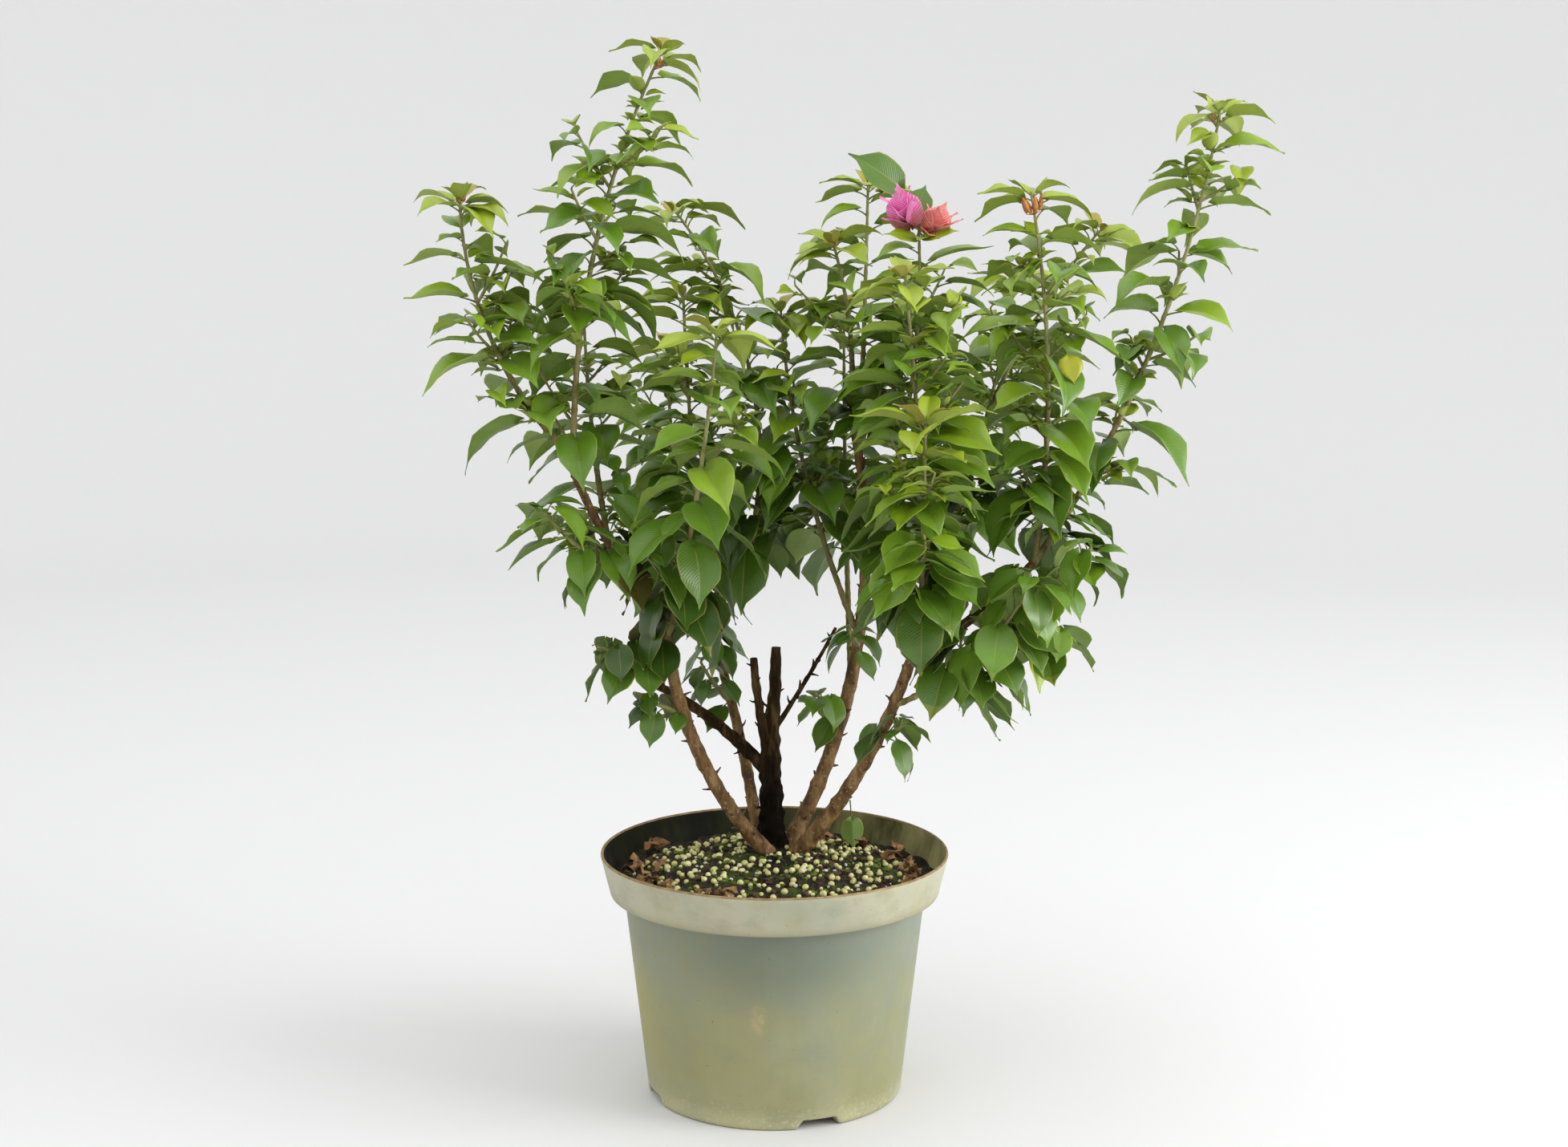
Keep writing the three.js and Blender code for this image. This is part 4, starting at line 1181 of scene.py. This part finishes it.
def pot_inside_material():
    """The inner wall: near black with algal streaks and painted shade on the left, plain olive and lighter
    with painted light on the right, as if lit through the plastic from that side.
    """
    shader = Shader("pot inside", 0.75, Specular_IOR_Level=0.2)
    # Painted light and shade: lighter towards the right, as if light from the right shone through the plastic,
    # and dark on the left, where algal streaks and painted shade lie together.
    across = shader.ramp(shader.axis("X"), [(0.0, 0.0), (0.08, 1.0)])
    runs = shader.noise(30, stretch=(1, 1, 0.3))
    algae_and_painted_shade = shader.ramp(runs, [(0.34, rgb(8, 9, 1)), (0.66, rgb(44, 46, 12))])
    clean_and_painted_light = shader.ramp(runs, [(0.38, rgb(88, 88, 50)), (0.6, rgb(168, 162, 112))])
    shader.colour(shader.blend(across, algae_and_painted_shade, clean_and_painted_light))
    shader.bump(shader.noise(120), 0.3, 0.0006)
    return shader.material


def steps_to(first, last, count):
    """Even steps along a straight line, which ends in the last point and leaves out the first."""
    return [(mix(first[0], last[0], t), mix(first[1], last[1], t)) for t in np.linspace(0, 1, count)[1:]]


def inner_wall():
    """(radius, height) down the inner wall: under the edge, at the lip's foot, below it, on the floor."""
    lip_low, wall = POT["height"] - POT["lip_height"], POT["wall"]
    return [
        (POT["rim"] - wall - 0.4, POT["height"] - 6), (POT["lip_foot"] - wall + 0.6, lip_low + 4),
        (POT["shoulder"] - wall, lip_low - 1), (POT["foot"] - wall, POT["foot_depth"] + wall),
    ]


def make_pot():
    """The moulded pot: rolled lip edge, tapered wall, notched foot and a dished underside."""
    top, rim, lip_foot, shoulder = (POT[key] for key in ("height", "rim", "lip_foot", "shoulder"))
    boss, foot, dish = (POT[key] for key in ("boss", "foot", "foot_depth"))
    lip_low, ring = top - POT["lip_height"], foot - POT["foot_ring"]
    outside = [
        (boss, 0), (boss + 0.6, 0.6), (boss + 0.6, dish), (ring, dish), (ring, 0.6), (ring + 0.6, 0),
        (foot - 3, 0), (foot - 1.2, 0.5), (foot - 0.3, 1.8), (foot + 0.1, 4), (foot + 0.35, 7.5),
    ]
    outside += steps_to(outside[-1], (shoulder, lip_low - 1.5), 30)
    outside += [
        (shoulder + 0.6, lip_low - 0.4), (lip_foot - 1.6, lip_low), (lip_foot - 0.5, lip_low + 0.4),
        (lip_foot, lip_low + 1.4),
    ]
    outside += steps_to(outside[-1], (rim, top - 1.4), 9)
    edge = [(rim - 0.25, top - 0.5), (rim - 0.9, top), (rim - 1.6, top - 0.2), (rim - POT["wall"], top - 1.2)]
    inside = inner_wall()
    profile = [(0, 0), *outside, *edge, *inside, (0, dish + POT["wall"])]
    slots = np.repeat([0, 1, 2], [len(outside), len(edge), len(inside) + 1])
    bundle = Bundle()
    lathe(bundle, profile, 256, slots, pot_warp)
    brown = mottled("worn brown lip edge", rgb(122, 98, 60), rgb(164, 140, 98), 160, 0.6)
    bundle.build("pot_shell", [pot_material(), brown, pot_inside_material()], "pot", ["pot"])


def pot_warp(radius, height, angles):
    """Lifts the foot at its notches and lets the thin wall wander a little."""
    p = POT
    foot_line = (height < p["notch_height"]) & (radius > p["foot"] - p["foot_ring"] - 1)
    lifted = height
    for i in range(p["notches"]):
        centre = math.radians(p["first_notch"] + 360 / p["notches"] * i)
        away = np.abs((angles - centre + math.pi) % (2 * math.pi) - math.pi) * p["foot"]
        share = 1 - smooth_step(p["notch_top"] / 2, p["notch_width"] / 2, away)
        lifted = np.where(foot_line, np.maximum(lifted, p["notch_height"] * share + height * 0.05), lifted)
    sway = 0.35 * np.cos(2 * angles + 0.6) + 0.15 * np.cos(5 * angles + 2)
    grow = smooth_step(20, p["height"], height)
    return radius + sway * grow * (radius > 40), lifted


# ---------------------------------------------------------------- potting mix and what lies on it


def soil_height(x, y):
    """The surface of the mix: a low mound in the middle that falls towards the wall, with lumps."""
    radius = np.hypot(x, y)
    mound = smooth_step(0, 1, 1 - (radius - SOIL["plateau"] * 0.4) / 100)
    base = mix(SOIL["at_wall"], SOIL["top"], np.clip(mound, 0, 1))
    lumps = sum(
        size * np.sin(rate * (x * math.cos(turn) + y * math.sin(turn)) + shift)
        for size, rate, turn, shift in SOIL_WAVES
    )
    return base + lumps


def wall_inside(z):
    """The pot's inner radius at a height behind its lip."""
    (wide, high), (narrow, low) = inner_wall()[:2]
    return mix(narrow, wide, (z - low) / (high - low))


def mix_material():
    """Dark crumbs, with moss in places."""
    shader = Shader("potting mix", 0.95)
    crumbs = shader.noise(420, detail=8)
    crumb = shader.ramp(crumbs, [(0.38, rgb(20, 15, 9)), (0.55, rgb(52, 40, 26)), (0.72, rgb(96, 78, 50))])
    shader.colour(shader.blend(shader.blotches(42, 6, 0.5, 0.62, 0.85), crumb, rgb(66, 84, 22)))
    shader.bump(shader.noise(600, detail=8), 1.0, 0.002)
    return shader.material


def make_mix():
    """The mix's own solid, with crumbs and hollows in its surface."""
    edge = wall_inside(SOIL["at_wall"]) + 0.6
    radius = np.linspace(1.0, edge, 90)[:, None]
    angles = ring_angles(220)
    x, y = radius * np.cos(angles), radius * np.sin(angles)
    rng = np.random.default_rng(SEED)
    crumbs = rng.normal(0, 0.75, x.shape) * smooth_step(edge, edge - 3, radius)
    floor = POT["foot_depth"] + POT["wall"] + 0.3
    shoulder, lip_low = inner_wall()[2]
    low = [(shoulder - 0.4, lip_low), (POT["foot"] - 3, floor)]
    wall = np.array([[[r * math.cos(a), r * math.sin(a), h] for a in angles] for r, h in low])
    surface = np.concatenate([np.stack([x, y, soil_height(x, y) + crumbs], axis=-1), wall])
    bundle = Bundle()
    add_rings(bundle, surface, [(0, 0, soil_height(0, 0)), (0, 0, floor)], flip=True)
    bundle.build("mix_body", [mix_material()], "potting_mix", ["potting_mix"])


def ball():
    """Points and triangles of a small round body, a twenty-sided one with each triangle cut in four."""
    t = (1 + math.sqrt(5)) / 2
    corners = [(-1, t, 0), (1, t, 0), (-1, -t, 0), (1, -t, 0), (0, -1, t), (0, 1, t),
               (0, -1, -t), (0, 1, -t), (t, 0, -1), (t, 0, 1), (-t, 0, -1), (-t, 0, 1)]
    coarse = [(0, 11, 5), (0, 5, 1), (0, 1, 7), (0, 7, 10), (0, 10, 11), (1, 5, 9), (5, 11, 4), (11, 10, 2),
              (10, 7, 6), (7, 1, 8), (3, 9, 4), (3, 4, 2), (3, 2, 6), (3, 6, 8), (3, 8, 9), (4, 9, 5),
              (2, 4, 11), (6, 2, 10), (8, 6, 7), (9, 8, 1)]
    points = [unit(np.array(corner, float)) for corner in corners]
    middle, faces = {}, []
    for a, b, c in coarse:
        made = []
        for pair in ((a, b), (b, c), (c, a)):
            key = tuple(sorted(pair))
            if key not in middle:
                middle[key] = len(points)
                points.append(unit(points[key[0]] + points[key[1]]))
            made.append(middle[key])
        faces += [(a, made[0], made[2]), (b, made[1], made[0]), (c, made[2], made[1]), tuple(made)]
    return np.array(points), np.array(faces)


def scatter(rng, count, reach, apart):
    """Seeded places on the mix, clear of the stems' feet and that far apart."""
    feet = np.array([row["foot"] for row in LIMBS if "foot" in row], float)
    made = []
    for _ in range(count * 20):
        if len(made) == count:
            break
        radius, angle = reach * math.sqrt(rng.uniform()), rng.uniform(0, 2 * math.pi)
        spot = np.array([radius * math.cos(angle), radius * math.sin(angle)])
        if np.linalg.norm(feet - spot, axis=1).min() < SOIL["off_stems"]:
            continue
        if not made or np.linalg.norm(np.array(made) - spot, axis=1).min() > apart:
            made.append(spot)
    return made


def make_grains(name, material, count, reach, sizes, squash, rough, seed, sunk=0.35, apart=0.0):
    """Round or broken grains lying on the mix."""
    rng = np.random.default_rng(seed)
    shape, faces = ball()
    bundle = Bundle()
    for spot in scatter(rng, count, reach, apart):
        size = rng.uniform(*sizes) / 2
        body = shape * (1 + rng.uniform(-rough, rough, (len(shape), 1))) * size
        body = body * np.array([1, rng.uniform(*squash), rng.uniform(*squash)])
        turn = rng.uniform(0, 2 * math.pi)
        c, s = math.cos(turn), math.sin(turn)
        spun = np.array([[c, -s, 0], [s, c, 0], [0, 0, 1]])
        centre = np.array([*spot, soil_height(*spot) + size * (1 - 2 * sunk) + rng.uniform(-0.3, 0.6)])
        bundle.add(body @ spun.T + centre, faces.ravel(), np.full(len(faces), 3))
    bundle.build(name, [material], "potting_mix", smooth=rough < 0.1)


# The azimuth and radius of each small heap of dry leaves.
DRY_HEAPS = (
    (200, 98), (188, 92), (176, 104), (212, 92), (8, 98), (16, 92), (28, 102), (352, 96), (62, 70), (70, 58),
    (78, 66), (40, 84), (222, 100), (234, 92), (50, 98), (150, 104), (166, 100), (0, 104), (340, 102),
    (58, 84), (238, 88), (246, 84),
)
FALLEN = dict(
    at=(60.0, 42.0), azimuth=130, lean=8, facing=(-0.2, 1, 0.1), size=24, stalk=15, half_width=0.38, sunk=1,
)


def make_dry_leaves():
    """Dry curled leaves in small heaps, most of them by the wall."""
    dry = Bundle()
    rng = np.random.default_rng(SEED + 5)
    for azimuth, radius in DRY_HEAPS:
        angle = math.radians(azimuth)
        spot = np.array([radius * math.cos(angle), radius * math.sin(angle)])
        for _ in range(3):
            size = rng.uniform(10, 19)
            way = heading(rng.uniform(0, 360), rng.uniform(40, 110))
            toward = UP + rng.normal(0, 0.6, 3)
            centre = np.array([*(spot + rng.normal(0, 3, 2)), soil_height(*spot) + rng.uniform(2, 7)])
            pose = pose_facing(centre - way * size / 2, way, toward)
            fold, arch, curl = rng.uniform(30, 60), rng.uniform(60, 190), rng.uniform(-60, 60)
            add_leaf(dry, pose, size, fold, arch, curl, 0.09, rng.uniform(0, 6), 0.3, 0.4)
    brown = mottled("dry leaf", rgb(100, 68, 40), rgb(182, 138, 94), 150, 0.85, (0.6, 0.0008))
    dry.build("dry_leaves", [brown] * 3, "potting_mix")


def make_fallen_leaf():
    """One green leaf that has fallen and stands on its tip, its stalk up."""
    fallen = Bundle()
    way = -heading(FALLEN["azimuth"], FALLEN["lean"])
    foot = np.array([*FALLEN["at"], soil_height(*FALLEN["at"]) - FALLEN["sunk"]])
    base = foot - way * FALLEN["size"]
    pose = pose_facing(base, way, FALLEN["facing"], root=base - way * FALLEN["stalk"])
    add_leaf(fallen, pose, FALLEN["size"], 18, 12, 0, 0.01, 1, FALLEN["half_width"])
    add_petiole(fallen, pose, FALLEN["size"])
    fallen.build("fallen_leaf", leaf_materials("deep"), "potting_mix")


def make_ground():
    """Everything that lies in the pot."""
    make_mix()
    prill = mottled("feed prill", rgb(176, 172, 92), rgb(234, 228, 168), 110, 0.45, (0.1, 0.0002))
    make_grains("feed_prills", prill, 350, 98, (2.6, 5.4), (0.92, 1.05), 0.015, SEED + 1, sunk=0.3, apart=3.6)
    perlite = mottled("perlite", rgb(178, 176, 160), rgb(226, 224, 212), 300, 0.9)
    make_grains("perlite", perlite, 90, 104, (1.4, 3.4), (0.6, 1.0), 0.3, SEED + 2)
    chip = mottled("bark chip", rgb(44, 32, 20), rgb(96, 74, 48), 220, 0.95)
    make_grains("bark_chips", chip, 420, 112, (2.0, 7.0), (0.3, 0.7), 0.35, SEED + 3)
    moss = mottled("moss", rgb(58, 86, 14), rgb(126, 146, 44), 700, 1.0, (0.8, 0.001))
    make_grains("moss", moss, 260, 86, (2.0, 6.0), (0.4, 0.8), 0.3, SEED + 4, sunk=0.45)
    make_dry_leaves()
    make_fallen_leaf()


# ---------------------------------------------------------------- floor, light and camera


def plain_material(name, colour, roughness):
    """One colour all over."""
    shader = Shader(name, roughness)
    shader.base.inputs["Base Color"].default_value = colour
    return shader.material


def make_stage():
    """A pale round floor that sweeps up into a low wall on every side."""
    reach, bend, rise, segments = 4.4, 1.8, 2.4, 96
    profile = [(0.02, 0.0), (reach - bend, 0.0)]
    profile += [(reach - bend + bend * math.sin(a), bend * (1 - math.cos(a)))
                for a in np.linspace(0, math.pi / 2, 20)[1:]]
    profile.append((reach, rise))
    points = [(r * math.cos(a), r * math.sin(a), z) for r, z in profile for a in ring_angles(segments)]
    faces = [tuple(int(i) for i in quad) for quad in grid_faces(len(profile), segments, closed=True)[:, ::-1]]
    faces.append(tuple(range(segments)))
    mesh = bpy.data.meshes.new("floor")
    mesh.from_pydata(points, [], faces)
    mesh.polygons.foreach_set("use_smooth", [True] * len(faces))
    mesh.materials.append(plain_material("pale floor", rgb(224, 224, 225), 0.8))
    floor = bpy.data.objects.new("floor", mesh)
    bpy.context.scene.collection.objects.link(floor)


def add_light(name, place, aim, size, power):
    """A white panel of light that faces its aim, in metres and watts."""
    data = bpy.data.lights.new(name, "AREA")
    data.shape = "RECTANGLE"
    data.size, data.size_y = size
    data.energy = power
    light = bpy.data.objects.new(name, data)
    bpy.context.scene.collection.objects.link(light)
    light.location = place
    light.rotation_euler = (Vector(aim) - Vector(place)).to_track_quat("-Z", "Y").to_euler()


def make_light():
    """A low panel on the right, weaker ones on the left and above, and light from all around."""
    add_light("key", (2.4, -0.7, 1.15), (0, 0, 0.25), (1.5, 1.3), 50)
    add_light("fill", (-1.6, -1.9, 1.5), (0, 0, 0.4), (1.6, 1.4), 3)
    add_light("top", (-0.2, -0.1, 2.7), (0, 0, 0.4), (2.0, 1.6), 9)
    world = bpy.data.worlds.new("studio")
    world.use_nodes = True
    background = world.node_tree.nodes["Background"]
    background.inputs["Color"].default_value = (1.0, 1.0, 0.99, 1)
    background.inputs["Strength"].default_value = 1.03
    bpy.context.scene.world = world


def make_camera():
    """The camera in front of the pot, a little above it and tilted down."""
    data = bpy.data.cameras.new("camera")
    data.lens = CAMERA["lens"]
    data.sensor_width = CAMERA["sensor_width"]
    camera = bpy.data.objects.new("camera", data)
    bpy.context.scene.collection.objects.link(camera)
    camera.location = CAMERA["place"]
    camera.rotation_euler = (math.radians(90 - CAMERA["down"]), 0, 0)
    bpy.context.scene.camera = camera
    bpy.context.scene.view_settings.view_transform = "Standard"


# ---------------------------------------------------------------- all together

make_camera()
make_stage()
make_light()
make_pot()
make_ground()
make_limbs()
make_foliage()
make_blossom()
make_yellow_leaf()
make_buds()
